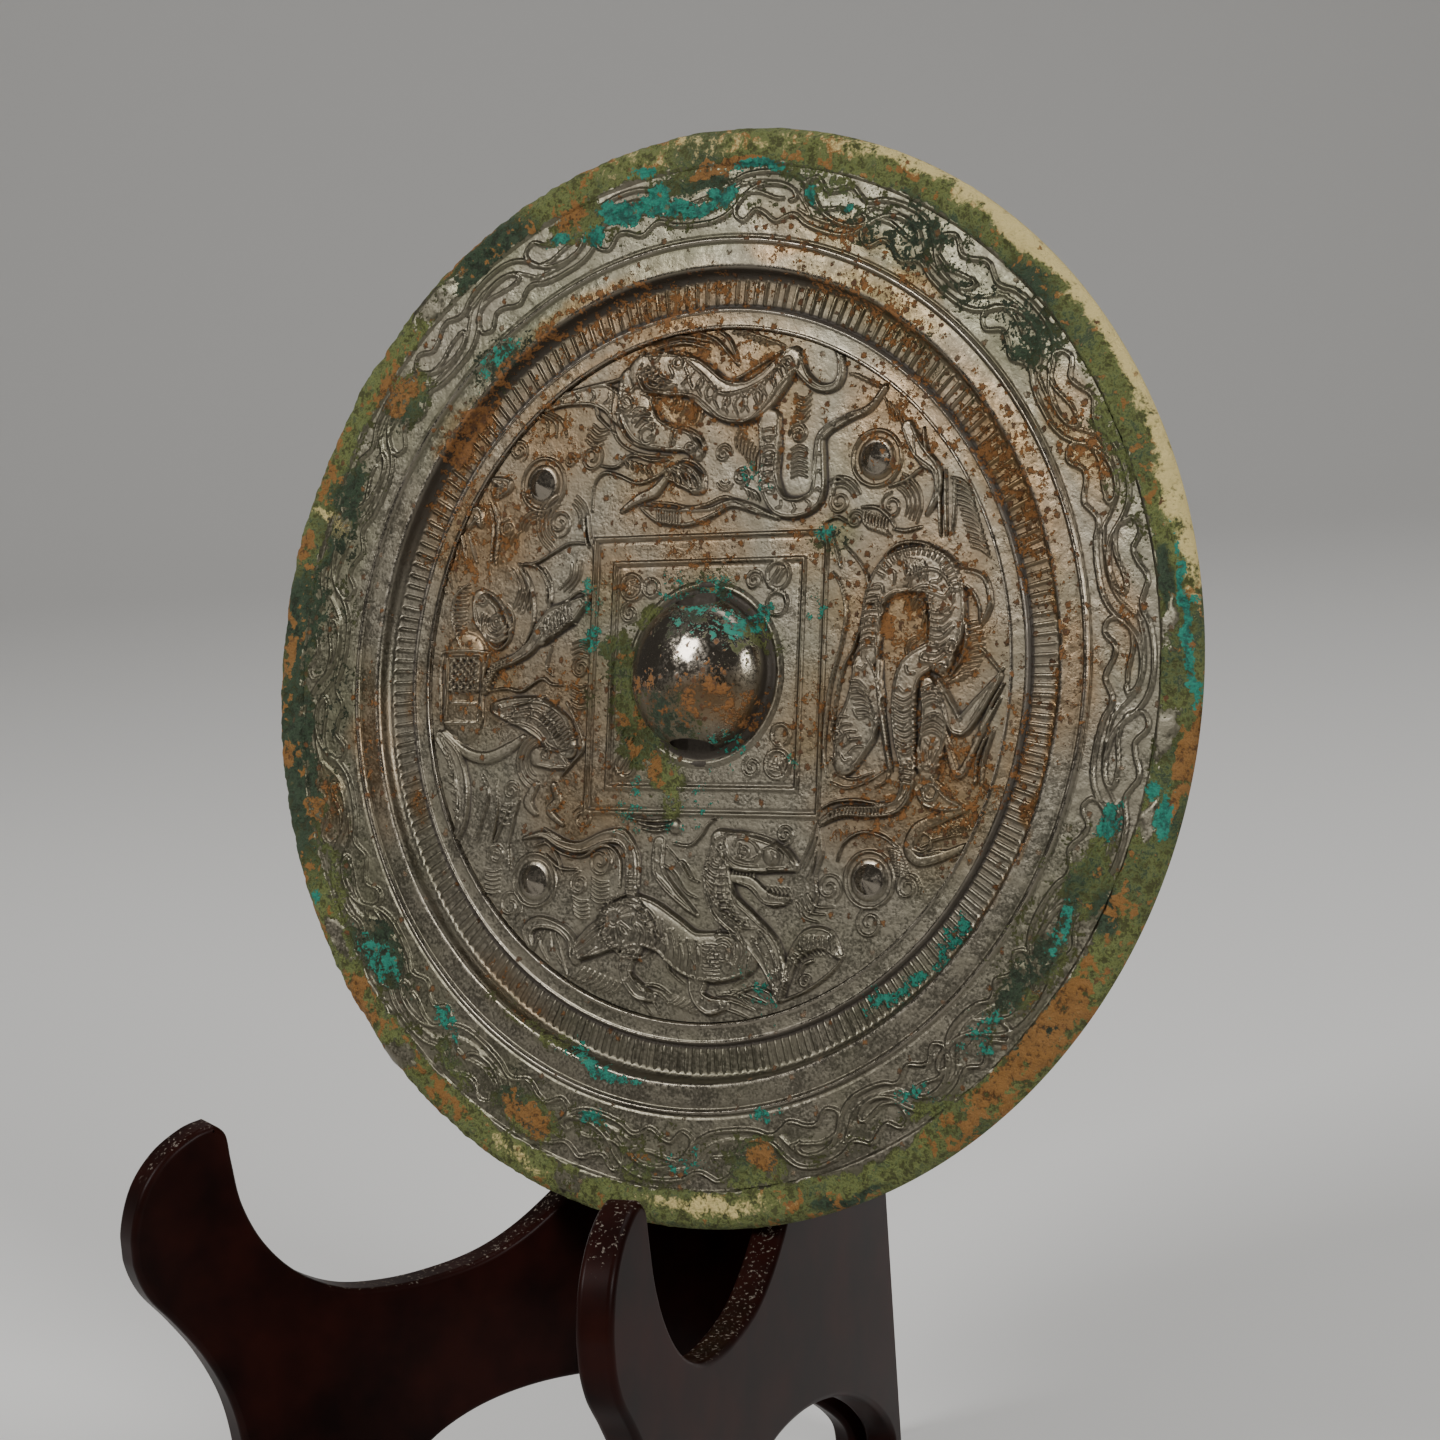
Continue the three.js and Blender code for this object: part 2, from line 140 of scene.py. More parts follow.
class Relief:
    """Heights in millimetres over a plane of square cells, raised and cut by strokes."""

    def __init__(self, left, bottom, across, up, step):
        self.left, self.bottom, self.step = left, bottom, step
        self.height = np.zeros((int(up / step) + 1, int(across / step) + 1))

    def window(self, x0, x1, y0, y1):
        """The rows and columns of a rectangle, and their coordinates."""
        rows, cols = self.height.shape
        j0 = min(max(int((y0 - self.bottom) / self.step), 0), rows)
        j1 = min(max(int((y1 - self.bottom) / self.step) + 2, j0), rows)
        i0 = min(max(int((x0 - self.left) / self.step), 0), cols)
        i1 = min(max(int((x1 - self.left) / self.step) + 2, i0), cols)
        x = self.left + self.step * np.arange(i0, i1)[None, :]
        y = self.bottom + self.step * np.arange(j0, j1)[:, None]
        return slice(j0, j1), slice(i0, i1), x, y

    def combine(self, rows, cols, shape, mode):
        """Takes a shape in by the greater height, on top of what is there, or cut out of it."""
        here = self.height[rows, cols]
        if mode == "max":
            np.maximum(here, shape, out=here)
        elif mode == "add":
            here += shape
        else:
            here -= shape

    def bar(self, points, widths, height, crown="round", mode="max", each=6):
        """A bar along a smooth path: height * crown(distance / half width), the widths running
        evenly along the path and the height falling where the bar is thin."""
        path = smooth(points, each)
        place = np.linspace(0, 1, len(path))
        half = np.interp(place, np.linspace(0, 1, len(widths)), widths) / 2
        tall = height * np.minimum(1, half / (0.5 * half.max()))
        reach = half.max() + self.step
        low, high = path.min(0) - reach, path.max(0) + reach
        rows, cols, x, y = self.window(low[0], high[0], low[1], high[1])
        shape = np.zeros((y.shape[0], x.shape[1]))
        if not shape.size:
            return
        for k in range(len(path) - 1):
            (ax, ay), (bx, by) = path[k], path[k + 1]
            r, c, sx, sy = self.window(min(ax, bx) - reach, max(ax, bx) + reach,
                                       min(ay, by) - reach, max(ay, by) + reach)
            dx, dy = bx - ax, by - ay
            t = np.clip(((sx - ax) * dx + (sy - ay) * dy) / (dx * dx + dy * dy + 1e-12), 0, 1)
            d = np.hypot(sx - ax - t * dx, sy - ay - t * dy)
            d = d / np.maximum(half[k] + (half[k + 1] - half[k]) * t, 0.02)
            rise = (tall[k] + (tall[k + 1] - tall[k]) * t) * CROWNS[crown](d)
            part = shape[r.start - rows.start:r.stop - rows.start,
                         c.start - cols.start:c.stop - cols.start]
            np.maximum(part, rise, out=part)
        self.combine(rows, cols, shape, mode)

    def dome(self, x0, y0, radius, height, crown="round", mode="max"):
        """A round boss: height * crown(distance / radius)."""
        rows, cols, x, y = self.window(x0 - radius, x0 + radius, y0 - radius, y0 + radius)
        self.combine(rows, cols, height * CROWNS[crown](np.hypot(x - x0, y - y0) / radius), mode)

    def hoop(self, x0, y0, radius, width, height, start=0, end=360, mode="max"):
        """Part of a circle as a bar, from one angle to the other in degrees."""
        angle = np.radians(np.linspace(start, end, max(4, int(abs(end - start) / 20))))
        path = np.stack([x0 + radius * np.cos(angle), y0 + radius * np.sin(angle)], -1)
        taper = [width] if abs(end - start) >= 360 else [0.6 * width, width, width, 0.6 * width]
        self.bar(path, taper, height, mode=mode, each=3)

    def curl(self, x0, y0, radius, start, turns, width=0.5, height=0.48, tail=0):
        """A spiral that winds in to (x0, y0): its radius falls as (1 - t) ^ 0.8 while it turns.
        A positive number of turns winds anticlockwise, and a tail runs out straight before it."""
        t = np.linspace(0, 1, max(6, int(abs(turns) * 11)))
        angle = math.radians(start) + 2 * math.pi * turns * t
        r = radius * (1 - 0.85 * t) ** 0.8
        path = np.stack([x0 + r * np.cos(angle), y0 + r * np.sin(angle)], -1)
        if tail:
            out = path[0] - path[1]
            path = np.vstack([path[0] + out / np.hypot(*out) * tail, path])
        self.bar(path, [0.5 * width, width, width, 0.9 * width], height, each=3)

    def fan(self, x0, y0, near, far, start, end, count, width=0.5, height=0.35, mode="max"):
        """Blades that spread from a point, between two radii and two angles."""
        for angle in np.radians(np.linspace(start, end, count)):
            r = np.array([near, far])
            self.bar(np.stack([x0 + r * np.cos(angle), y0 + r * np.sin(angle)], -1),
                     [width, 0.5 * width], height, mode=mode, each=2)

    def comb(self, row, stroke, count, bow=0.0, mode="max", width=0.45, height=0.42):
        """Short parallel strokes centred along a row, each bowed sideways by bow."""
        path = smooth(row, 12)
        run = np.concatenate([[0], np.cumsum(np.hypot(*np.diff(path, axis=0).T))])
        half = np.array(stroke) / 2
        side = np.array([-half[1], half[0]]) / max(np.hypot(*half), 1e-6) * bow
        for s in np.linspace(0, run[-1], count):
            at = np.array([np.interp(s, run, path[:, 0]), np.interp(s, run, path[:, 1])])
            self.bar([at - half, at + side, at + half], [0.6 * width, width, 0.5 * width], height,
                     mode=mode, each=3)

    def nested(self, x0, y0, first, pitch, count, start, end, width=0.5, height=0.35, mode="max"):
        """Arcs one outside the other round a point."""
        for k in range(count):
            self.hoop(x0, y0, first + pitch * k, width, height, start, end, mode)

    def rungs(self, points, widths, count, width=0.45, depth=0.3, slant=0.25, span=(0.06, 0.94),
              mode="cut", reach=0.42):
        """Short bowed strokes across a bar's path, evenly spaced, leaning along it by slant."""
        path = smooth(points, 12)
        run = np.concatenate([[0], np.cumsum(np.hypot(*np.diff(path, axis=0).T))])
        for s in np.linspace(span[0], span[1], count) * run[-1]:
            at = np.array([np.interp(s, run, path[:, 0]), np.interp(s, run, path[:, 1])])
            ahead = np.array([np.interp(s + 0.3, run, path[:, 0]), np.interp(s + 0.3, run, path[:, 1])])
            behind = np.array([np.interp(s - 0.3, run, path[:, 0]), np.interp(s - 0.3, run, path[:, 1])])
            along = (ahead - behind) / max(np.hypot(*(ahead - behind)), 1e-6)
            side = np.array([-along[1], along[0]])
            half = reach * np.interp(s / run[-1], np.linspace(0, 1, len(widths)), widths)
            ends = [at + side * half, at + along * slant * half, at - side * half]
            self.bar(ends, [0.7 * width, width, 0.7 * width], depth, mode=mode, each=3)

    def edges(self, points, widths, inset=0.45, width=0.5, height=0.34):
        """Two thin lines just inside a bar's edges, at half width less inset on either side."""
        path = smooth(points, 4)
        half = np.interp(np.linspace(0, 1, len(path)), np.linspace(0, 1, len(widths)), widths) / 2
        along = np.gradient(path, axis=0)
        side = np.stack([-along[:, 1], along[:, 0]], -1) / np.maximum(np.hypot(*along.T), 1e-6)[:, None]
        for sign in (1, -1):
            line = path + side * (sign * np.maximum(half - inset, 0.1))[:, None]
            self.bar(line, (0.5 * width, width, width, 0.5 * width), height, mode="add", each=1)

    def blur(self, size):
        """The heights averaged over a square of that size, by running sums along both ways."""
        n = max(1, int(size / self.step / 2))
        out = self.height
        for axis in (0, 1):
            padded = np.concatenate([np.repeat(out.take([0], axis), n + 1, axis), out,
                                     np.repeat(out.take([-1], axis), n, axis)], axis)
            total = np.cumsum(padded, axis)
            span = 2 * n + 1
            ahead = total.take(range(span, total.shape[axis]), axis)
            out = (ahead - total.take(range(total.shape[axis] - span), axis)) / span
        return out

    def at(self, values, x, y):
        """The values at any points, mixed from the four nearest cells."""
        u = np.clip((x - self.left) / self.step, 0, values.shape[1] - 1.001)
        v = np.clip((y - self.bottom) / self.step, 0, values.shape[0] - 1.001)
        i, j = u.astype(int), v.astype(int)
        a, b = u - i, v - j
        return ((values[j, i] * (1 - a) + values[j, i + 1] * a) * (1 - b)
                + (values[j + 1, i] * (1 - a) + values[j + 1, i + 1] * a) * b)


# ---- Figures of the field ----------------------------------------------------------------------
# Each stroke is a path on the face, widths along it and a height, all in millimetres.

# Bodies: path, widths along it, height, bowed ribs across it.
BODIES = {
    "upper_beast": [
        ([(-15.5, 55), (-10, 54.6), (-4, 53.4), (1.5, 49.6), (6.5, 48.6), (11, 50.5), (16.5, 55.8)],
         (7.4, 8, 7.4, 7.2, 8, 7, 4.4), 1.5, 10),
        ([(-18.5, 54), (-17, 49), (-14.8, 45.4), (-10.5, 43.2), (-5.6, 42.2), (-3, 39.8)],
         (5, 8, 7.4, 5, 4, 2.4), 1.3, 3),
        ([(-38.5, 50), (-31, 51.4), (-24.5, 51.4), (-20, 48)], (0.8, 3, 5, 5), 0.7, 0),
        ([(12.2, 45), (12.6, 39), (12.6, 34.5), (15, 30), (19.5, 29.4), (22.8, 31.6), (23, 38), (23.4, 42),
          (28, 44.6), (32.8, 46.4), (35.8, 50)], (4.8, 4.4, 4.4, 4, 3.6, 2.8, 2, 1.7, 1.3, 1), 1.3, 0),
        ([(17, 56.4), (19.4, 52.6), (22.6, 50.4), (25.8, 50.8), (26.8, 53.6), (25.6, 57.2), (22, 59.4)],
         (3.4, 2, 1.6, 1.6, 1.6, 1.2, 0.8), 1.0, 0),
        ([(-15, 30.6), (-11, 29), (-5, 28.4), (0, 29), (4.6, 30.6), (9, 29.6), (14.8, 27.6)],
         (0.8, 3.2, 3.6, 2.2, 1.6, 1.6, 0.7), 0.8, 0),
        ([(-9.6, 36.4), (-6.4, 36.2), (-3.2, 34.6), (-1.8, 33.4)], (2, 4.6, 4.2, 1.4), 0.9, 0),
        ([(-19.4, 30), (-15.4, 32.2), (-12.3, 33.2), (-9.8, 35.6)], (0.8, 1.8, 2.2, 1.4), 1.1, 0),
    ],
    "right_dragon": [
        ([(34.6, 3), (34.8, 9), (36, 14), (39, 17), (43.5, 17.8), (47.6, 16.8), (49.6, 12.5), (49.8, 7),
          (48.6, 2.4)],
         (4, 4.2, 5, 7.6, 8.4, 8, 7.4, 7, 5.4), 1.5, 0),
        ([(47, 3), (43, 0.4), (41.8, -5), (42.2, -11), (43.4, -17)], (5, 5.4, 5, 4.6, 3), 1.3, 0),
        ([(46.4, -2), (48, -7.5), (47.4, -13), (47, -17)], (3, 5.4, 5.4, 4), 1.1, 0),
        ([(33.2, 2.4), (34.2, -4), (32.4, -10), (30.4, -15.6)], (3.4, 7.4, 8.6, 4.6), 1.4, 0),
        ([(36.6, 2), (37.2, -6), (39.4, -16.6)], (1.2, 1.4, 0.8), 1.0, 0),
        ([(43.2, -16.2), (42.9, -20), (41, -23), (36.6, -24), (30.4, -24), (26, -26)],
         (3.4, 2.8, 2.6, 2.4, 2.2, 1.4), 0.9, 0),
        ([(54.6, -23.4), (49.6, -25), (45.4, -26.8), (43.8, -30), (45.6, -32.2), (49.6, -31.6), (55, -29.4)],
         (0.9, 2, 2.4, 2.2, 2, 1.8, 1), 0.8, 0),
        ([(48.6, -1.6), (51, -6.6), (53, -9.2), (56.6, -5.4), (60.4, -0.6)], (1.4, 3, 3.8, 3, 1), 0.9, 0),
        ([(46.4, -19), (47.8, -21), (50.5, -22.4), (54, -23)], (4.6, 4.8, 3, 1), 0.9, 0),
        ([(40.6, 42.6), (43, 38.4), (46.6, 35), (47, 31), (45, 27.4)], (2.6, 3, 2, 1.6, 0.8), 0.9, 0),
        ([(52.6, 16.4), (55.6, 15), (57, 11.6), (56.4, 8.6)], (3, 4, 3, 1), 0.8, 0),
        ([(50, -9.8), (51.6, -15), (53.2, -17.4), (56, -12.6), (59, -6.4)], (1, 1.4, 1.6, 1.2, 0.8), 0.9, 0),
    ],
    "lower_beast": [
        ([(5.4, -31), (4.8, -36), (6.6, -41), (11, -44.4), (15.6, -48.4), (18.2, -53), (18.8, -57.4)],
         (4.6, 6, 6.4, 6, 6, 4.6, 1), 1.4, 0),
        ([(5, -29.6), (9.4, -31.4), (14, -32.2), (18.2, -32.6), (21, -34)], (4, 7, 6.2, 4.6, 1.6), 1.5, 0),
        ([(7.6, -36.2), (11.6, -36.8), (14.6, -39), (17.2, -40), (19.8, -39.6)], (1.6, 2.2, 2.4, 2.4, 1.2),
         1.0, 0),
        ([(10.4, -49.6), (5, -50.4), (-0.6, -49.8), (-6, -46.4), (-11.6, -44.6), (-16.6, -45.6)],
         (8, 9.4, 8.6, 8, 9.6, 9), 1.5, 0),
        ([(-17.6, -46.4), (-21.6, -48.4), (-25.8, -51)], (7.4, 6, 3), 1.3, 0),
        ([(-25.6, -51.8), (-26.8, -48.4), (-30, -46.2), (-34.4, -45.6), (-36.8, -47.2), (-36, -50)],
         (2.6, 2.2, 2, 2.6, 2.6, 1.4), 0.9, 0),
        ([(-13, -49), (-14.4, -53.6), (-11.4, -57), (-8.6, -58)], (4.6, 2.6, 3.4, 2), 1.0, 0),
        ([(1.6, -53.6), (1.4, -57), (4, -59), (7, -58.6)], (5, 3, 3.6, 2.4), 1.0, 0),
        ([(-13.8, -39.4), (-14, -33.4), (-16, -30), (-20, -29.6), (-25.4, -31.6), (-30, -31), (-34, -29.4),
          (-38.6, -30.2)], (2.4, 2.6, 2.6, 2.6, 2.4, 2, 1.4, 0.8), 0.9, 0),
        ([(20, -54.6), (21.4, -49.6), (24.4, -46.6), (28, -46.4), (30.8, -49.4)], (0.8, 2.6, 4.4, 4, 1),
         0.9, 0),
        ([(-8.2, -30.4), (-8.2, -35), (-5.4, -38.4), (-1.6, -41.4), (0.6, -43)], (2.6, 2.8, 2.4, 1.6, 0.8),
         0.6, 0),
    ],
    "carriage": [
        ([(-51.2, 14.6), (-49.4, 11.4), (-46.6, 8)], (3.4, 6.4, 4.6), 1.0, 0),
        ([(-54, 3.4), (-54, -8)], (9.6, 9.6), 0.7, None),
        ([(-49, -2.6), (-46.8, 1.4), (-42.6, 3), (-38.6, 5.4), (-36.4, 9)], (1.8, 2, 2, 2.6, 3), 1.1, 0),
        ([(-36.4, 7.6), (-33.6, 10), (-30, 11.6), (-26.6, 14)], (4.4, 5.6, 4.6, 1.6), 1.3, 0),
        ([(-46.6, -6), (-41.6, -6.6), (-36.6, -7.6), (-32, -10.4), (-29, -14)], (2.4, 5.4, 7.4, 7.6, 3),
         1.2, 0),
        ([(-36, -15), (-32.6, -15.4), (-29.4, -16.6)], (4, 4.4, 1.6), 1.0, 0),
        ([(-58.4, -10.6), (-53, -14.4), (-48, -15.4), (-43, -13.6), (-39.6, -11.4)], (1, 2, 2.4, 2.2, 1),
         0.9, 0),
        ([(-59.4, -11.4), (-55.6, -15.4), (-53.4, -20.6), (-53.2, -27), (-54.8, -31.4)],
         (2.4, 3.6, 3.2, 2.6, 1), 1.1, 0),
        ([(-36.2, -20.2), (-38, -23.4), (-36, -25.6)], (1.4, 2.2, 1), 0.9, 0),
        ([(-32.2, -20.4), (-31.2, -23.2), (-33, -25), (-29.8, -27.4)], (1.6, 2, 1.6, 1), 0.9, 0),
        ([(-47.6, 34.6), (-46, 35.8), (-49.4, 37)], (2.4, 3, 1), 0.7, 0),
        ([(-54.6, 29), (-52.6, 30.8), (-51.8, 28.6)], (2.4, 3, 1.4), 0.8, 0),
    ],
}

# Thin raised lines: width, height, mode, paths. Those added lie on top of a body.
LINES = [
    (0.75, 0.6, "max", [
        [(-11, 58.6), (-5.4, 57.4), (-1.7, 54.9), (1.4, 52.4), (4.6, 53), (8.9, 54.9), (13.9, 57.4)],
        [(-39.6, 48.9), (-33, 50.2), (-26.7, 50), (-25.4, 47.6), (-21.6, 44.4)],
        [(-38, 50.6), (-33, 52.4), (-26.7, 53.4), (-20.4, 54.6), (-17.3, 57.4), (-15.6, 59.4)],
        [(-12.9, 49.2), (-12.6, 46.6), (-9.8, 44.9), (-5.4, 43.9), (-2.3, 42.2), (-1.9, 39.6)],
        [(-26, 30.2), (-25.8, 35.2), (-23.6, 37.2), (-20.4, 36.6), (-16, 35), (-12, 36), (-9.6, 37.4)],
        [(-24.6, 38.6), (-21, 38.2), (-17.6, 40.2), (-13, 39), (-9.4, 39.2)],
        [(-4, 62), (0, 60.4), (2.6, 58), (4.8, 55.6)], [(0, 62.2), (2.6, 60.6), (4.2, 58), (5, 55.6)],
        [(-14, 60.4), (-8, 61.4), (-1, 60.2)], [(-13, 59.4), (-7, 60.2), (-1.4, 58.8)],
        [(-26.9, 29.6), (-26.6, 27), (-25.6, 23.4)], [(-27.8, 29), (-27.4, 26), (-26.6, 23.6)],
        [(28.7, 22.4), (32.2, 19), (33.8, 15.4), (32.9, 9.6), (31.4, 4.6), (29.4, 1), (28.2, -4),
         (27.4, -10)],
        [(26.4, 17.8), (28.2, 15.4), (29.4, 10.8), (28.8, 5.4), (27, -1), (26.2, -7), (26, -14), (26.8, -18)],
        [(26.2, 24), (27.4, 20.6), (28, 18.6)],
        [(36.2, 17.4), (37.4, 20.7), (40, 22.4), (44, 22.4), (47.5, 21), (50.6, 18.8), (52.4, 15)],
        [(48.4, 34.8), (48.6, 29), (49, 23.6)], [(47.2, 34.6), (47.4, 29), (47.8, 23.6)],
        [(50.2, 33.4), (50.4, 28), (50.2, 24)],
        [(42, 42), (42.4, 38), (44.2, 35.6), (47, 34.4)], [(43.8, 42.4), (44.4, 39), (46.4, 36.4)],
        [(52.4, 10.8), (53.6, 7.2), (53, 2.6), (50.6, -0.6)],
        [(48.2, -1), (50.8, -5), (53, -8.4)], [(55, -8), (57.4, -4.4), (60.8, 0.6)],
        [(56.8, -9.6), (58.6, -6), (61, -2)], [(55.6, -11.6), (57.8, -9), (60.4, -4.6)],
        [(58, -11), (56.4, -15), (56.2, -19)], [(59.4, -10), (57.8, -14.6), (57.4, -19)],
        [(43.2, -19.6), (41.6, -22), (38, -22.6), (33, -22), (28.6, -22.4), (26, -23.6)],
        [(25.6, -27), (26.4, -31), (25.2, -35), (25.6, -39), (24.4, -42)],
        [(29.4, -32.6), (30.6, -29.6), (34, -27.6), (38, -28), (41.4, -30)],
        [(28.6, 33.6), (26.4, 34.4), (25.8, 31.4)], [(24.6, 26.6), (27, 27.4), (29, 26.4)],
        [(31.8, 29), (35, 28.8), (37.6, 27), (38.6, 25.4)], [(38.4, 25), (41, 24.6), (44, 25.2)],
        [(37.2, 32.4), (40.6, 33.4), (43.6, 35.4)],
        [(-18.8, -41.4), (-13.8, -39.6), (-8.8, -41.2), (-5.6, -43.8), (-2.5, -46.2), (3, -47.4),
         (5.6, -45.4)],
        [(-5, -30.4), (-1.4, -30.6), (1, -28.6), (2.2, -26.8), (3.8, -25.8)],
        [(-15.6, -25.8), (-11, -26.4), (-6, -26.2)], [(-13, -26.8), (-9, -27.4), (-6, -27)],
        [(-12, -27.8), (-9, -28.2), (-6.4, -27.8)],
        [(-12.4, -38.4), (-12.6, -32.8), (-15.4, -28.6), (-19.4, -28.4), (-22.6, -29.8), (-26, -31.2),
         (-30, -30), (-34, -28.2)],
        [(-16.6, -38.6), (-16.6, -33.8), (-18.6, -31.4), (-21.6, -31.4), (-25, -33.2), (-29.4, -32.8),
         (-33.8, -30.4)],
        [(-33.4, -33), (-30, -35.4), (-26.4, -35.6)],
        [(-36, -31.6), (-33, -31), (-30.6, -33.6), (-29.6, -36.4)],
        [(18.6, -57.6), (24, -55.4), (29, -52), (31.4, -49)], [(22, -54), (23.4, -51), (25.4, -50)],
        [(9, -57), (13, -55.4), (16.6, -56), (18, -57.8)],
        [(-42, -24), (-44, -28), (-45.4, -31)], [(-40, -23), (-41.4, -28), (-42, -31.4), (-41.4, -36)],
        [(-49, -18.4), (-47.2, -22), (-48.6, -27), (-49.6, -31)], [(-45.4, -19.6), (-45, -25), (-46, -31)],
        [(-50, 32.6), (-48.8, 28.4), (-49, 21.6)], [(-48.6, 32.2), (-47.4, 28), (-48, 21)],
        [(-56.4, 27.4), (-55.4, 24), (-54.4, 20)], [(-54.4, 27), (-53.4, 24), (-52.4, 21.4)],
        [(-54, 17.4), (-57, 15), (-57.6, 10.8), (-55.2, 5.4)],
        [(-50.8, 16.4), (-47, 14.4), (-44, 10.4), (-43.8, 7), (-46, 5), (-48.4, 6), (-50.4, 9.4),
         (-51.8, 13.2)],
        [(-42.4, 21), (-39.6, 16.8), (-38.4, 12.8), (-38.9, 8.2), (-41.8, 4)],
        [(-41, 21), (-37, 19.6), (-34.8, 15.6), (-35.4, 11), (-37, 7.6)],
        [(-42.4, 20.8), (-38.4, 21), (-34, 23), (-30.6, 24.4), (-26.4, 24.2)],
        [(-59.6, 4.6), (-54, 4.8), (-48.4, 4.4)], [(-59.6, 4.6), (-59.8, -1), (-59.2, -9)],
        [(-48.4, 4.4), (-49.6, -1), (-50.4, -8.6)], [(-57.2, -5), (-50.8, -5.2)],
        [(-58.4, -8.8), (-50.8, -8.8)],
        [(-48.2, -2.8), (-44, -2.4), (-40.4, -2.8), (-36, -0.6), (-33.6, -1.6), (-31, -1.8)],
        [(-30, -5), (-27.2, -9.2), (-25.8, -13.4), (-28.4, -16.4), (-30.4, -18.6)],
        [(-34, 5.4), (-35, 1.6), (-33.4, 0)], [(-29, 12), (-26.6, 12.8), (-25.8, 14.4)],
    ]),
    (0.6, 0.4, "add", [
        [(-6, 57), (-1.8, 53.8), (1.6, 50.6), (6, 50.6), (11, 52.4), (15.6, 56)],
        [(-21.8, 53), (-22.6, 49), (-22, 45), (-19.6, 42), (-15, 40.2), (-9, 39.6)],
        [(-19.5, 53), (-20.8, 49.5), (-20.6, 46.5), (-19, 43.6), (-16, 41.8), (-12, 41), (-6, 40.4)],
        [(-12.6, 50.4), (-12.8, 48), (-11, 46), (-8, 45.2), (-5, 44.4), (-2.6, 43), (-1.6, 41), (-2.2, 39.4)],
        [(-4.4, 43), (-3.4, 41.6), (-3.8, 40)], [(-8.4, 44.4), (-8.8, 41.6)], [(-7.6, 44.2), (-8, 41.4)],
        [(-17.6, 47.4), (-15.4, 48.2), (-13.6, 47.4)], [(-17.2, 46.2), (-15.2, 46.9), (-13.6, 46.2)],
        [(-15.5, 57), (-16.4, 54.5), (-15, 52), (-12, 51.2)],
        [(-14.2, 56.4), (-14.8, 54.2), (-13.4, 52.4), (-10.4, 51.8)],
        [(-13, 56), (-13.2, 54.6), (-12, 53.2), (-9.6, 52.8)], [(-12, 55.6), (-11.6, 54.6), (-10, 53.8)],
        [(-15, 58.5), (-12, 58.6), (-8, 58.6), (-4, 57.3), (0, 54.4), (2, 53), (5, 52.4), (9, 53.8),
         (13, 56.3), (17, 58)],
        [(-15.6, 51.4), (-13, 50.6), (-8, 50.8), (-4, 50.3), (-1, 48.2), (2, 46), (5, 45.2), (8, 45.4),
         (11, 47.5),
         (14, 51), (17, 53.5)],
        [(-9.4, 37.2), (-7, 36.4), (-4.6, 34.4), (-3.6, 32.6)],
        [(-8.6, 38), (-6, 37.2), (-3.4, 35.2), (-2.4, 33.4)],
        [(-7.6, 38.6), (-4.8, 37.8), (-2.4, 36), (-1.6, 34)],
        [(-6.4, 39), (-3.8, 38.4), (-1.6, 36.6), (-1, 34.8)],
        [(13.8, 44), (14.2, 39), (14, 34.6), (16.2, 31.2), (20, 30.8), (21.8, 34), (21.8, 40), (23.4, 43.2),
         (30, 45.6)],
        [(11, 43.6), (11.2, 38), (11, 34)],
        [(-12.6, 31.4), (-8.4, 31), (-4.6, 30.2), (-1, 30.6), (2.7, 31.8), (5.8, 31), (10.2, 28.6)],
        [(37, 8.4), (36.4, 1.3), (37.6, -7), (39.8, -17)],
        [(42, 13.4), (43, 16.4), (46, 17.8), (49, 16.8), (51, 14), (51.2, 12)],
        [(44.8, 8), (45.4, 11.6), (43.2, 13)], [(45.6, 5.6), (45.8, 9), (44.6, 12)],
        [(36.2, 13.4), (37.4, 11.2), (36.8, 9.6)], [(34.6, 12), (36.4, 12.6)],
        [(6.2, -31.4), (3.4, -33.4), (2.2, -37), (3.2, -41.2), (5.8, -44.4)],
        [(6, -33), (5, -36.5), (5.2, -40), (7.4, -43.6)],
        [(7, -35.5), (6.6, -38.5), (8.4, -42), (12.4, -44.8)],
        [(4.4, -29.6), (8, -28.2), (12.4, -28.4), (17, -29.8), (20.4, -32.6), (21.2, -35)],
        [(-19, -43), (-16.5, -41.4), (-12.5, -42), (-9, -44.6), (-8, -48), (-10.4, -50.8), (-15, -51),
         (-18.6, -48.4), (-19.6, -45.4), (-19, -43)],
        [(8.2, -37.4), (9, -40.2), (12, -42.6), (16.4, -45.8)],
        [(19, -49), (19.6, -54), (18.9, -57.2)], [(13, -46.6), (15.6, -50), (17.8, -55)],
        [(14.4, -45.4), (17.2, -49), (18.8, -54)], [(9.4, -45), (11.6, -48.6), (10.4, -52.4)],
        [(8, -45.4), (9.9, -48.8), (8.8, -52.4)], [(12.6, -49.6), (12, -53), (9, -55)],
        [(-19, -44.8), (-22.6, -47.6), (-26, -50)], [(-19.4, -46.4), (-22.6, -49), (-25.6, -51)],
        [(-20.8, -49.8), (-24, -51.8)], [(-13, -54), (-11, -56.6), (-8.8, -57.4)],
        [(-6.4, -44.2), (-5, -48.4), (-5.2, -52.6), (-1.6, -55.4)],
        [(-4.4, -46), (-3.2, -49.6), (-3.6, -53.4)],
        [(-2.6, -47), (-1.6, -50), (-2, -54)], [(-0.8, -47.4), (0, -50), (-0.4, -54)],
        [(1, -47.6), (1.8, -50), (1.4, -54)],
        [(5.6, -30.4), (6.6, -33.4), (9, -34.8), (12, -35)],
        [(6.6, -29.4), (7.6, -32.6), (10, -33.8), (13.6, -34)],
        [(8.4, -30.6), (9.2, -29.2), (12, -29.6), (14, -31.6), (12, -33), (9.4, -32.6)],
        [(14.6, -31), (16.6, -30.6), (18.6, -31.8), (18.2, -33.6)],
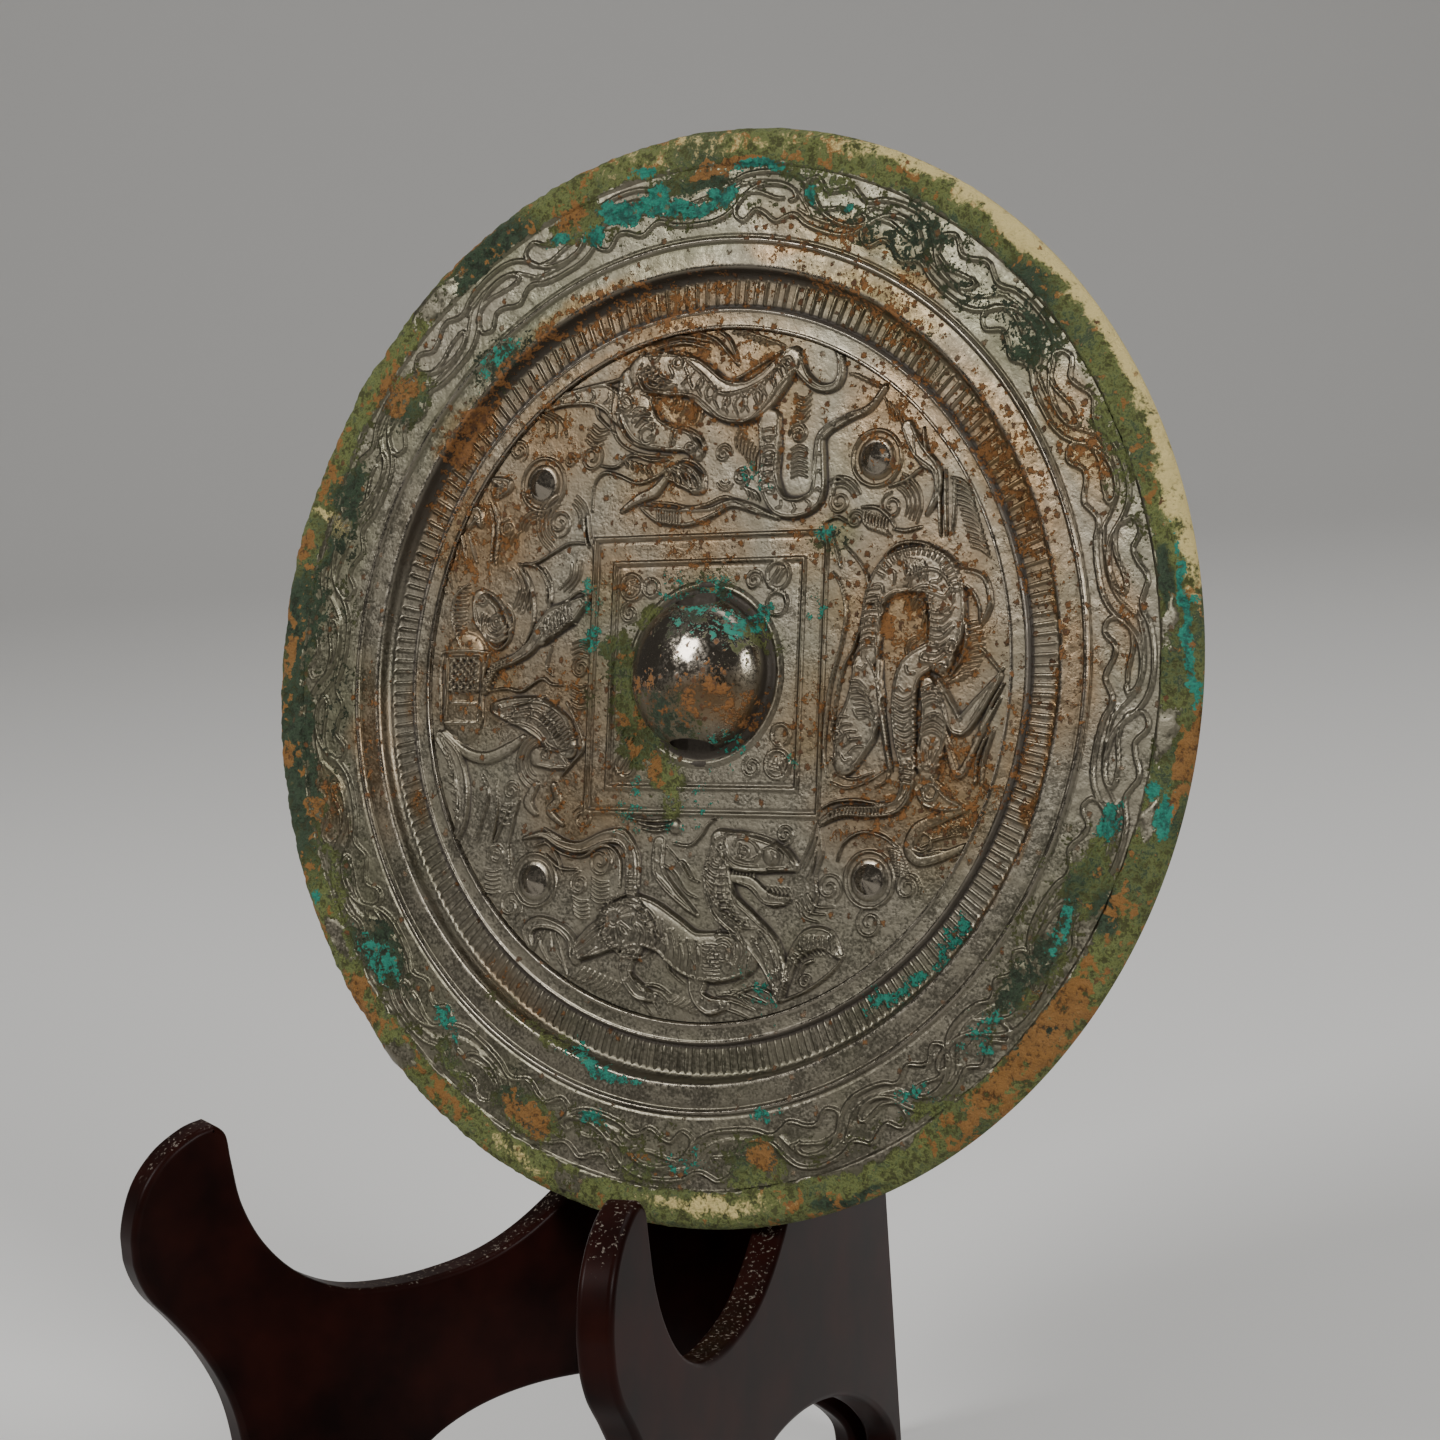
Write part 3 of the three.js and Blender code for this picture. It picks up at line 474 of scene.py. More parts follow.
        [(15.6, -34.4), (18, -34.6), (20.8, -34.6)],
        [(9.2, -37), (12.4, -38), (15, -40.4), (19, -40.6)],
        [(-42, -7), (-37, -6.4), (-32.4, -8.8), (-29.6, -12.4)],
        [(-44, -8), (-38, -7.6), (-34, -9.6), (-31, -13.4)],
        [(-45, -9), (-40, -9), (-36, -10.6), (-33, -13.8)], [(-42, -5.6), (-36, -5), (-31, -7.2), (-28, -11)],
        [(-45, -6.4), (-40, -5.4), (-35, -3.8)], [(-34, -13.6), (-31, -14), (-27, -13)],
        [(-35.4, 6), (-33, 8.2), (-30, 9.6), (-28.6, 9.4)],
        [(-34.4, 12.6), (-31, 13.8), (-28.2, 15.4), (-26, 14.4)],
        [(-58.6, -11.8), (-55.6, -16.4), (-54.4, -21), (-54.4, -27)],
    ]),
    (0.55, 0.42, "max", [
        [(-39.8, 48.4), (-37.3, 47.2), (-37, 44.7)], [(-39.2, 49), (-35.4, 47.2), (-35, 44.4)],
        [(-38, 49.5), (-33.9, 47.5), (-32.6, 44.4)],
        [(-43.8, 20), (-42, 16.4), (-43.4, 12.6)], [(-42.8, 20), (-40.9, 16.4), (-42.2, 12)],
        [(-41.8, 20), (-39.9, 16.4), (-41, 11.8)], [(-40.8, 19.6), (-39, 16), (-39.8, 12)],
        [(-37.4, 19.4), (-35.8, 17), (-35.6, 13.6)], [(-36.6, 20), (-34.8, 17.4), (-34.4, 13.6)],
        [(-29, 21.2), (-29.4, 18), (-31.8, 15.6)], [(-27.8, 21), (-28.4, 18), (-30.6, 15.4)],
        [(-30.2, 20.8), (-30.6, 18), (-32.8, 16)],
        [(-56.6, 25.6), (-57.6, 21), (-57, 18)], [(-57.6, 23.6), (-59, 20), (-58, 16.6)],
        [(-58.4, 22), (-60, 19), (-59.4, 15.6)],
        [(31, 3), (31.6, -1), (30.4, -4.4)], [(32.6, 3.4), (32.8, -1), (32, -4)],
        [(34, 2.4), (34.4, -1.6), (33.6, -4.4)],
        [(27.6, -19), (31, -20), (35.4, -18.6), (38.8, -16.6)], [(28.4, -17.4), (32, -18.4), (36, -17.2)],
        [(36.6, -19.8), (38.8, -18.6), (39.2, -16)], [(53.4, -27.6), (49, -28.6), (46.2, -29.8)],
        [(55, -31), (50.6, -30.4), (46.8, -31)], [(46, -16.4), (49.4, -19), (52, -22)],
        [(-34.2, -47.6), (-35.6, -51)], [(-33, -47), (-34, -49.4), (-32, -52.6)],
        [(-31.8, -47.6), (-31, -50.4), (-28.6, -53.4)],
        [(-30.6, -47.4), (-29.4, -50), (-27.8, -54.2), (-27.6, -55)],
        [(-11, -56), (-7.4, -56), (-4.6, -57.4)], [(-10.6, -57), (-7, -57.4), (-4.8, -59.2)],
        [(-10.4, -58), (-8, -59), (-6.6, -61)], [(-11.4, -58.4), (-9.6, -60), (-8.4, -61.2)],
        [(5.6, -57), (9, -56.8), (12, -58.2)], [(5.4, -58), (9, -58), (13.4, -59.4)],
        [(5, -59), (8.6, -59.6), (12, -60.6)],
        [(-6.6, -31), (-3.4, -34), (-1.4, -36.4), (0.8, -37.2)],
        [(-9.2, -33.4), (-5, -35.4), (-2.2, -38.8), (0.4, -40)],
        [(-9, -35.6), (-5.6, -38.2), (-2.6, -41.6), (0.6, -43.2)],
        [(-4.4, -34), (-2.6, -33.8), (-0.4, -36.8)],
        [(24.8, -26), (23.6, -30), (21.8, -33.4)], [(25, -28.4), (24, -31.6), (22.6, -34)],
        [(25, -31), (24.4, -34), (23.4, -36)],
        [(21.4, -40), (23, -42.6), (26, -43.4)], [(22.4, -39), (24, -41.6), (27.4, -42)],
        [(23.6, -38.4), (25.4, -40.6), (29, -40.6)],
    ]),
]

# Spirals: centre, radius, starting angle and turns.
CURLS = [
    (18.2, 42.5, 2.0, 180, -1.4), (2.4, 39.7, 1.8, 0, 1.4), (6.4, 35.3, 1.9, -90, 1.5),
    (-43.6, 42.2, 2.2, -60, 1.4),
    (-31.4, 39.7, 1.4, 0, 1.2), (-26.7, 40.2, 2.7, 90, -1.5), (-33.4, 28.2, 2.6, -90, 1.4),
    (27.2, 30.1, 2.1, 150, 1.4),
    (37.8, 29.0, 2.4, 90, 1.4), (30.6, 26.9, 1.8, 0, 1.4), (-21.2, -34.0, 2.8, 60, -1.5),
    (-25.6, -38.2, 2.2, 90, 1.4),
    (-25.6, -26.2, 2.3, 150, -1.4), (-41.2, -42.6, 3.0, -60, 1.4), (-45.0, -33.4, 2.1, 200, -1.4),
    (18.4, -28.3, 1.9, -90, 1.4), (28.0, -37.3, 2.7, -60, 1.5), (36.4, -43.2, 3.0, 60, 1.5),
    (43.6, -36.8, 2.6, -30, 1.5), (46.4, -28.6, 3.0, 60, 1.3), (23.8, -53.8, 1.3, 0, 1.3),
    (-27.3, 1.3, 1.9, 90, 1.4),
    (-42.0, -21.4, 1.9, 0, 1.4), (-47.6, 35.0, 2.4, 30, 1.2), (-45.4, 27.6, 1.8, 90, 1.2),
    (-40.4, 34.0, 1.2, 0, 1.0),
    (29.0, -14.8, 1.5, 180, 1.2), (51.0, 17.4, 1.6, 60, 1.2),
]

# Small circles: centre and radius.
CIRCLES = [
    (-12.9, 58.1, 1.0), (-7.6, 56.6, 0.9), (-18.9, 49.8, 1.3), (-13.9, 43.6, 1.5), (-4.5, 40.9, 0.8),
    (12.7, 38.3, 1.1), (16.0, 55.2, 0.9), (51.1, 4.2, 1.0), (49.2, 0.4, 0.9), (47.7, -20.5, 1.4),
    (28.8, -11.2, 1.0),
    (6.9, -49.5, 1.4), (10.6, -31.6, 1.0), (-46.7, 10.1, 1.3), (-50.0, 14.2, 0.9), (-34.0, -14.6, 0.8),
]

# Combs of short bowed strokes: the row they stand along, one stroke, their number, bow and mode.
COMBS = [
    ([(-14.8, 55.4), (-11.4, 53.4), (-9.4, 52)], (3.2, 0.8), 6, 0.5, "add"),
    ([(-4, 53.4), (2, 49.4), (6.6, 48.4), (11, 50.4), (15.2, 54.4)], (0.4, 3.6), 11, 1.1, "add"),
    ([(-16.4, 48), (-14, 45)], (3.6, 1.2), 4, 0.6, "add"),
    ([(12.4, 43.4), (12.6, 32.6)], (2.4, 0.1), 8, 0.2, "add"),
    ([(18.8, 45.4), (19.2, 49.4)], (2.8, 0.6), 5, -0.7, "max"),
    ([(18.4, 39.8), (18.6, 34.8)], (3.2, 0), 7, 0.6, "max"),
    ([(5.4, 42.4), (9.6, 38.4)], (0.6, 3.4), 7, 0.4, "max"),
    ([(7.4, 32.8), (9.8, 31.8)], (1.6, -2), 4, 0.3, "max"),
    ([(-8.8, 36.2), (-3.4, 35.4)], (3, -3.2), 6, 0.6, "add"),
    ([(-11, 29.2), (-6.2, 28.4)], (0, 2.6), 9, 0.1, "add"),
    ([(-19.4, 39), (-13.8, 37.2)], (1.8, -2), 6, 0.3, "max"),
    ([(5.6, 61.2), (12.6, 58.6)], (4.4, -0.6), 7, 0.6, "max"),
    ([(-9, 49.6), (-3, 46.4)], (1.2, 2.6), 6, -0.4, "max"),
    ([(30, 52), (34.4, 50)], (3.2, -1.2), 5, 0.3, "max"),
    ([(36.2, 46.6), (39.6, 44)], (1, -2.6), 5, 0.2, "max"),
    ([(-26.2, 43.2), (-24.6, 46)], (4, -0.8), 4, -0.9, "max"),
    ([(54.6, 8.4), (55.6, 4.4), (54.4, 0.6), (51.6, -1.4)], (3, 0.5), 13, 0.1, "max"),
    ([(51.4, 32.6), (53.4, 27), (55.8, 20.6)], (3.8, -2), 14, 0.4, "max"),
    ([(48.6, 11), (48.6, 6.6), (47.6, 2.6)], (4.4, 0.8), 7, -0.9, "add"),
    ([(40.8, 18.6), (45, 17.8)], (1.8, -3.2), 7, 0.5, "add"),
    ([(42, -3.6), (42.2, -7.6)], (4.2, 0.2), 5, -1.1, "add"),
    ([(42.4, -9), (42.8, -13)], (4, 0.2), 5, -1.0, "add"),
    ([(47.4, -3.2), (48, -6.2)], (4.2, -0.6), 4, 1.0, "add"),
    ([(48, -8), (47.8, -11)], (4.2, -0.4), 4, 1.0, "add"),
    ([(34.4, 4.4), (35, 14.4)], (3, 0.5), 9, 0.3, "add"),
    ([(32.6, -2.2), (35, -8.2)], (4, -1.6), 7, 0.8, "add"),
    ([(29.4, -8.2), (33, -13.4)], (3, 1.2), 5, 0.6, "add"),
    ([(42.8, -16.4), (42.6, -19)], (2.8, -0.3), 4, 0.1, "add"),
    ([(39, -23.4), (28, -24.6)], (0.8, 1.8), 16, 0.2, "add"),
    ([(50.8, -26.8), (54.4, -26)], (1.8, -1.6), 6, 0.1, "max"),
    ([(40.8, -30.6), (42.8, -35)], (2.6, -0.7), 8, 0.1, "max"),
    ([(33, 26.8), (37.6, 25.2)], (0.9, -3.2), 8, -0.8, "max"),
    ([(57.4, 3), (59.6, 0.6)], (2.4, -2.6), 5, 0.3, "max"),
    ([(5.6, -33.6), (8, -35.6), (12.2, -35.8)], (-0.6, -1.8), 11, 0.1, "max"),
    ([(4.8, -33.6), (4.8, -37), (6.8, -41.2), (11, -44)], (5, -1.8), 10, -0.9, "add"),
    ([(15.6, -38.6), (19.8, -38.8)], (0.7, -2.2), 6, 0.2, "add"),
    ([(4.4, -48.4), (4.8, -54.2)], (3.2, 0), 9, 0.1, "add"),
    ([(-12.4, -40.8), (-7.4, -47.4)], (4.2, -2.4), 8, 0.6, "add"),
    ([(-20.6, -42.4), (-18.8, -48.6), (-12, -50.6)], (1.6, 0.8), 12, 0.1, "add"),
    ([(-25.2, -54.4), (-16.8, -57)], (-2.8, -2), 8, 0.4, "max"),
    ([(-4, -58.4), (1, -59.6)], (-2.6, -1.2), 5, 0.3, "max"),
    ([(10, -56.6), (14.6, -58)], (3, -0.6), 5, 0.3, "max"),
    ([(-21, -37.4), (-21, -41)], (3.6, -0.6), 6, -0.5, "max"),
    ([(-25.4, -41), (-24.8, -44)], (3.4, -0.6), 5, -0.5, "max"),
    ([(-45.6, -36.2), (-45.6, -40.2)], (3.4, 0), 6, -0.3, "max"),
    ([(-13.9, -38.8), (-13.9, -36.6)], (2.6, 0), 3, 0, "add"),
    ([(-55.2, 16.8), (-56, 11), (-54.8, 6)], (2.8, 0), 15, 0, "max"),
    ([(-48.6, -2.2), (-46.4, 1.4), (-43.6, 3)], (1.2, -1.8), 10, 0, "add"),
    ([(-34.8, 8.6), (-29.4, 11.6)], (-0.8, 4), 8, 0.3, "add"),
    ([(-34.2, -7), (-28.8, -12.4)], (2.8, 1.8), 10, 0.1, "add"),
    ([(-27.6, 5.8), (-27.4, 3)], (3.4, 0.2), 4, 0.6, "max"),
    ([(-27.2, -1.6), (-27, -5.6)], (3.8, -0.2), 5, -0.6, "max"),
    ([(-42.6, -24), (-43, -27.4)], (2.8, 0), 4, -0.3, "max"),
    ([(-46.6, 24.6), (-43, 26)], (0.8, 2), 4, 0.3, "max"),
    ([(-57.2, -14), (-54.2, -27)], (1.6, -0.8), 9, 0.1, "add"),
    ([(23.4, -47.6), (30, -47.6)], (1.4, -3.4), 8, -0.6, "add"),
    ([(21.4, -50.6), (24, -48)], (1.8, -1.4), 4, 0.2, "add"),
]

# Nested arcs: centre, first radius, pitch, number, start and end angle, and mode.
NESTED = [
    (37.8, 29.0, 3.3, 0.9, 4, -30, 70, "max"), (27.2, 30.0, 2.9, 0.8, 3, 20, 120, "max"),
    (-32.4, 28.6, 3.4, 0.9, 4, 110, 240, "max"), (-32.4, 28.6, 3.6, 0.9, 3, -20, 60, "max"),
    (-38.6, 26.6, 2.6, 0.8, 3, 80, 170, "max"), (-35.6, -16.0, 2.6, 0.9, 4, 110, 250, "max"),
    (-46.8, 10.0, 2.1, 0.8, 3, 150, 420, "add"), (-12.4, 55.0, 1.6, 1.0, 3, 180, 300, "add"),
    (45.6, 10.4, 1.8, 0.9, 4, 60, 170, "add"), (6.9, -49.5, 2.4, 1.0, 2, -40, 120, "add"),
    (-12.6, -47.0, 2.0, 1.2, 4, -50, 70, "add"), (3.0, 35.0, 1.0, 0.8, 2, 200, 330, "max"),
    (44.0, 4.0, 1.4, 0.8, 2, 100, 230, "max"),
]

NIPPLES = [(-37.5, 35.6), (34.5, 37.5), (-35.8, -37.8), (36, -35.7)]


def draw_squares(relief):
    """Two square lines round the knob, each a thin raised line with a fine groove inside it."""
    for half, width, height, mode in ((25.0, 0.7, 0.42, "max"), (20.4, 0.7, 0.42, "max"),
                                      (24.2, 0.4, 0.14, "cut"), (19.6, 0.4, 0.14, "cut")):
        corners = [(-half, -half), (half, -half), (half, half), (-half, half)]
        for k in range(4):
            relief.bar([corners[k], corners[(k + 1) % 4]], (width,), height, mode=mode, each=1)


def draw_trefoils(relief):
    """A striped circle, a curl and a loop in each corner of the square."""
    for x, y, radius in [(15, 17.5, 2.4), (-16.5, 16, 2.3), (16.3, -16, 2.5), (-16.3, -16.3, 2.2)]:
        relief.hoop(x, y, radius, 0.6, 0.5)
        for k in (-1, 0, 1):
            relief.bar([(x + 0.8 * k - 0.9, y - 1.2), (x + 0.8 * k + 0.9, y + 1.2)], (0.4,), 0.35)
    relief.curl(10, 16.7, 1.9, 0, 1.4)
    relief.hoop(15, 12.5, 2.1, 0.6, 0.5, -120, 200)
    relief.hoop(-12.2, 15.8, 1.6, 0.6, 0.5)
    relief.curl(-16.8, 11.3, 2.0, 90, 1.3)
    relief.curl(11, -16.4, 2.1, 120, 1.3)
    relief.hoop(16.8, -10.8, 1.9, 0.6, 0.5, -60, 260)
    relief.curl(-16.5, -11, 1.8, -60, 1.2)


def draw_nipples(relief):
    """Pointed bosses, each in a raised hoop."""
    for x, y in NIPPLES:
        relief.hoop(x, y, 4.9, 0.6, 0.5)
        relief.dome(x, y, 3.7, 0.7)
        relief.dome(x, y, 2.7, 1.8, "tent", mode="add")


def draw_figures(relief):
    """The four groups of figures and what fills the ground between them."""
    for bodies in BODIES.values():
        for points, widths, height, ribs in bodies:
            relief.bar(points, widths, 0.62 * height, "pillow")
            if max(widths) > 2.4:
                relief.edges(points, widths)
            if max(widths) > 4.5 and ribs is not None:
                run = np.hypot(*np.diff(np.array(points), axis=0).T).sum()
                relief.rungs(points, widths, ribs or int(run / 3.2), 0.5, 0.28, 0.7, mode="add", reach=0.2)
    for width, height, mode, paths in LINES:
        for points in paths:
            relief.bar(points, (0.4 * width, 0.75 * width, 0.75 * width, 0.4 * width), 1.2 * height,
                       mode=mode, each=5)
    for row, stroke, count, bow, mode in COMBS:
        relief.comb(row, stroke, count, bow, mode)
    for x, y, radius, start, turns in CURLS:
        relief.curl(x, y, radius, start, turns)
    for x, y, radius in CIRCLES:
        relief.hoop(x, y, radius, 0.5, 0.4, mode="add")
    for x, y, first, pitch, count, start, end, mode in NESTED:
        relief.nested(x, y, first, pitch, count, start, end, mode=mode)
    relief.fan(43.6, 13.4, 7.2, 9.2, 152, 5, 19, mode="add")
    relief.fan(47.2, -17.4, 1.6, 4.6, 35, 150, 8, mode="add")
    relief.fan(-16.9, -44.2, 1.5, 4.2, 10, 330, 20, mode="add")
    for x, y, radius, height in [(10.6, -31.6, 0.6, 0.5), (-46.7, 10.1, 0.6, 0.4), (-4.8, -27.4, 1.4, 0.7),
                                 (16.4, -32, 1.8, 0.5), (28.8, -11.2, 0.5, 0.4)]:
        relief.dome(x, y, radius, height, mode="add")
    draw_window(relief)


def draw_window(relief):
    """The carriage's lattice: two sets of slanting bars inside a square frame."""
    low, high, base, top = -57.0, -50.8, -2.8, 3.4
    frame_path = [(low, base), (high, base), (high, top), (low, top), (low, base)]
    for k in range(4):
        relief.bar(frame_path[k:k + 2], (0.7,), 0.45, mode="add", each=1)
    for slope in (1, -1):
        for shift in np.arange(-4.8, 4.9, 1.6):
            middle = (base + top) / 2 + shift
            x = np.array([low, high])
            y = middle + slope * (x - (low + high) / 2)
            x = np.clip(np.interp(np.clip(y, base, top)[::slope], y[::slope], x[::slope])[::slope], low, high)
            y = middle + slope * (x - (low + high) / 2)
            if np.hypot(x[1] - x[0], y[1] - y[0]) > 0.6:
                relief.bar([(x[0], y[0]), (x[1], y[1])], (0.5,), 0.4, mode="add", each=1)


def field_relief():
    """The whole field's relief, from the knob's foot to the flat ring."""
    relief = Relief(-63, -63, 126, 126, 0.1)
    draw_figures(relief)
    draw_nipples(relief)
    draw_squares(relief)
    draw_trefoils(relief)
    return relief


# ---- Meshes --------------------------------------------------------------------------------------


def grid_normals(points, wrap):
    """Unit normals of a grid of points: the cross product of the differences down the rows and
    along the columns, the columns joined round where the grid closes on itself."""
    down = np.gradient(points, axis=0)
    if wrap:
        along = np.roll(points, -1, 1) - np.roll(points, 1, 1)
    else:
        along = np.gradient(points, axis=1)
    normal = np.cross(down, along)
    return normal / np.maximum(np.linalg.norm(normal, axis=-1, keepdims=True), 1e-12)


def shell(name, top, normals, under, colours, wrap):
    """A closed body: the top is a grid whose rows run outwards and whose columns run
    anticlockwise, and the underside is a flat strip between the first and last rows lowered to
    under. An open grid gets a flat cheek at either end."""
    rows, cols = top.shape[:2]
    points = np.concatenate([top.reshape(-1, 3), under.reshape(-1, 3)])
    index = np.arange(rows * cols).reshape(rows, cols)
    low = rows * cols + np.arange(2 * cols).reshape(2, cols)
    rings = np.concatenate([low[:1], index, low[1:], low[:1]])
    if wrap:
        rings = np.concatenate([rings, rings[:, :1]], 1)
    quads = np.stack([rings[:-1, :-1], rings[1:, :-1], rings[1:, 1:], rings[:-1, 1:]], -1).reshape(-1, 4)
    faces = quads.tolist()
    if not wrap:
        faces.append(np.concatenate([low[:1, 0], index[:, 0], low[1:, 0]])[::-1].tolist())
        faces.append(np.concatenate([low[:1, -1], index[:, -1], low[1:, -1]]).tolist())
    mesh = bpy.data.meshes.new(name)
    mesh.from_pydata(points.tolist(), [], faces)
    mesh.polygons.foreach_set("use_smooth", np.ones(len(faces), bool))
    down = -np.broadcast_to(normals.reshape(-1, 3).mean(0), (2 * cols, 3))
    mesh.normals_split_custom_set_from_vertices(
        np.concatenate([normals.reshape(-1, 3), down]).tolist())
    for label, values in colours.items():
        layer = mesh.attributes.new(label, "FLOAT_COLOR", "POINT")
        ends = np.stack([values[0], values[-1]])
        layer.data.foreach_set("color", np.concatenate(
            [values.reshape(-1, 4), ends.reshape(-1, 4)]).astype(np.float32).ravel())
    return add_object(name, mesh)


def add_object(name, mesh):
    """A new object at the origin in the scene's collection."""
    made = bpy.data.objects.new(name, mesh)
    bpy.context.scene.collection.objects.link(made)
    return made


def finish_piece(piece, material, node):
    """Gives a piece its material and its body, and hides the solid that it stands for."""
    piece.data.materials.append(material)
    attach(piece, "root")
    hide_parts(node)


def region(angle, middle, spread):
    """1 at an angle in degrees round the disc, falling to 0 at the spread on either side."""
    away = np.abs((angle - middle + 180) % 360 - 180)
    return step_up(spread - away, 0, 0.6 * spread)


# Patches round the rim: middle angle in degrees, middle radius, half length in degrees, half
# width in millimetres and density.
RIM_PATCHES = {
    "earth": [
        (30, 71, 30, 11, 0.52), (62, 73, 22, 7, 0.5), (118, 73.6, 30, 2.4, 0.62), (104, 64, 32, 3, 0.5),
        (137, 72, 6, 4, 0.85), (143, 70, 4, 4, 0.9), (190, 76, 16, 5, 0.42), (0, 75, 14, 7, 0.42),
        (-8, 72.2, 50, 1.6, 0.6), (-12, 66, 16, 6, 0.4),
        (152, 70, 9, 4, 0.4), (27, 85, 13, 6, 0.48), (7, 84, 9, 5, 0.36), (196, 87, 6, 4, 0.5),
        (200, 69, 6, 3, 0.4), (183, 66, 9, 3, 0.3), (236, 71, 12, 4, 0.35), (70, 82, 16, 5, 0.36),
        (58, 79, 5, 3, 0.6), (78, 77, 8, 3, 0.5), (100, 69, 34, 5, 0.45),
    ],
    "olive": [
        (158, 88, 9, 6, 0.85), (142, 87, 5, 7, 0.9), (172, 89, 7, 5, 0.75), (110, 88, 8, 6, 0.85),
        (93, 90, 11, 5, 0.9), (76, 90, 13, 5, 0.66), (60, 88, 11, 7, 0.62), (41, 87, 7, 7, 0.66),
        (27, 91, 14, 4, 0.72), (337, 88, 7, 7, 0.95), (325, 87, 14, 7, 0.72), (305, 90, 7, 4, 0.7),
        (281, 88, 6, 7, 0.95), (265, 88, 7, 5, 0.62), (248, 87.5, 8, 7, 0.95), (235, 89, 6, 5, 0.75),
        (218, 87, 7, 7, 0.85), (190, 90.5, 6, 3, 0.5), (128, 76, 11, 6, 0.55), (50, 71, 12, 5, 0.34),
        (205, 89, 7, 5, 0.5), (62, 86, 26, 9, 0.5), (20, 90, 16, 5, 0.42), (175, 85, 40, 9, 0.34),
        (95, 84, 26, 7, 0.4), (255, 84, 40, 7, 0.36), (330, 82, 18, 7, 0.4), (185, 91, 60, 3, 0.8),
        (242, 73, 14, 2, 0.6), (292, 88, 9, 6, 0.34),
    ],
    "bare": [
        (5, 93.6, 3.8, 2.2, 1), (-7, 93.6, 3.7, 2.3, 1), (-15, 93.4, 2.8, 2.2, 1), (212, 94, 4.5, 2.6, 1),
        (297, 92, 7.5, 2.2, 1), (131, 95, 6, 5, 0.8), (228, 96.4, 3.4, 3, 0.9), (256, 95, 2.6, 3, 0.7),
    ],
    "turquoise": [
        (113, 86, 2.8, 2, 0.9), (108, 84, 3, 3.4, 0.92), (103.5, 88, 4.4, 3.2, 0.97), (98.5, 88, 3.2, 3.2, 1),
        (95, 85, 3, 2.8, 1), (92, 83, 3.2, 1.8, 1), (88.5, 85, 2.8, 3.2, 1), (83.5, 90.3, 4.8, 2, 0.95),
        (76, 87.5, 2, 2.4, 0.85), (71, 86.5, 1.4, 1.6, 0.8), (5, 96.8, 13, 1.7, 0.82),
        (-14, 96.5, 3.4, 2.4, 0.9),
        (-12, 92.5, 1.6, 2.4, 0.75), (-17.5, 88, 2.6, 3.4, 0.8), (-29, 86, 6, 3.4, 0.62),
        (-42, 70, 7, 4, 0.62),
        (-44, 86, 6, 5, 0.5), (307, 69, 9, 4, 0.56), (257, 73, 11, 1.8, 0.8), (283, 80, 3.4, 1.8, 0.66),
        (257, 82.5, 4, 2.4, 0.62), (231, 84.5, 4, 4, 0.56), (218, 88, 6, 5, 0.55), (303, 86, 4, 3.6, 0.45),
        (272, 85.5, 5, 3.4, 0.45), (128, 76, 9, 4, 0.42), (100, 93.5, 3, 2, 0.6), (206, 94, 2, 2, 0.6),
    ],
    "ochre": [
        (322, 95, 26, 10, 0.66), (221, 95, 6, 7, 0.85), (238, 95, 7, 6, 0.6), (248, 88, 6, 6, 0.85),
        (282, 87, 4.6, 5, 0.85), (310, 94, 9, 6, 0.6), (142, 90, 5, 9, 0.75), (190, 97, 3, 3, 0.9),
        (177, 97, 3, 3, 0.9), (165, 97, 3, 2.4, 0.8), (197, 91, 3.4, 3, 0.8), (88, 91.5, 9, 3, 0.85),
        (65, 95, 5, 3, 0.6), (112, 89, 5, 3.6, 0.66), (20, 97, 13, 2, 0.25), (-9, 97.6, 8, 2.2, 0.9),
        (155, 95, 9, 4, 0.5), (208, 97, 6, 3, 0.6), (125, 98, 7, 1.6, 0.7), (265, 87, 2.4, 1.6, 0.8),
    ],
    "pale": [
        # The first and last pale patches, on the upper right of the outer edge, are painted highlight where light
        # catches the edge, over some pale crust; the others are pale crust.
        (44, 99.0, 40, 4.4, 1.14), (274, 94.4, 12, 3, 0.66), (248, 94.6, 7, 2, 0.5), (161, 92, 2, 8, 0.6),
        (90, 96, 24, 4, 0.36), (18, 98.4, 14, 3, 0.9),
    ],
    "deep": [
        (185, 94, 28, 8, 0.75), (165, 88, 22, 6, 0.8), (45, 88, 12, 7, 0.55), (218, 87, 9, 7, 0.8),
        (325, 86, 16, 5, 0.8), (122, 92, 9, 8, 0.75), (128, 76, 14, 7, 0.9), (9, 93, 4, 2.6, 0.95),
        (-26, 92, 3, 3, 0.7), (292, 97.6, 5, 2, 1), (60, 88, 12, 6, 0.7), (-40, 94, 6, 3, 0.7),
        (175, 85, 55, 9, 0.6), (120, 78, 42, 9, 0.6), (225, 84, 32, 9, 0.5), (60, 72, 32, 7, 0.4),
        (307, 69, 16, 5, 0.5), (265, 69, 40, 5, 0.4), (265, 86, 45, 5, 0.4), (90, 88, 30, 6, 0.4),
        (55, 84, 40, 9, 0.55),
    ],
}

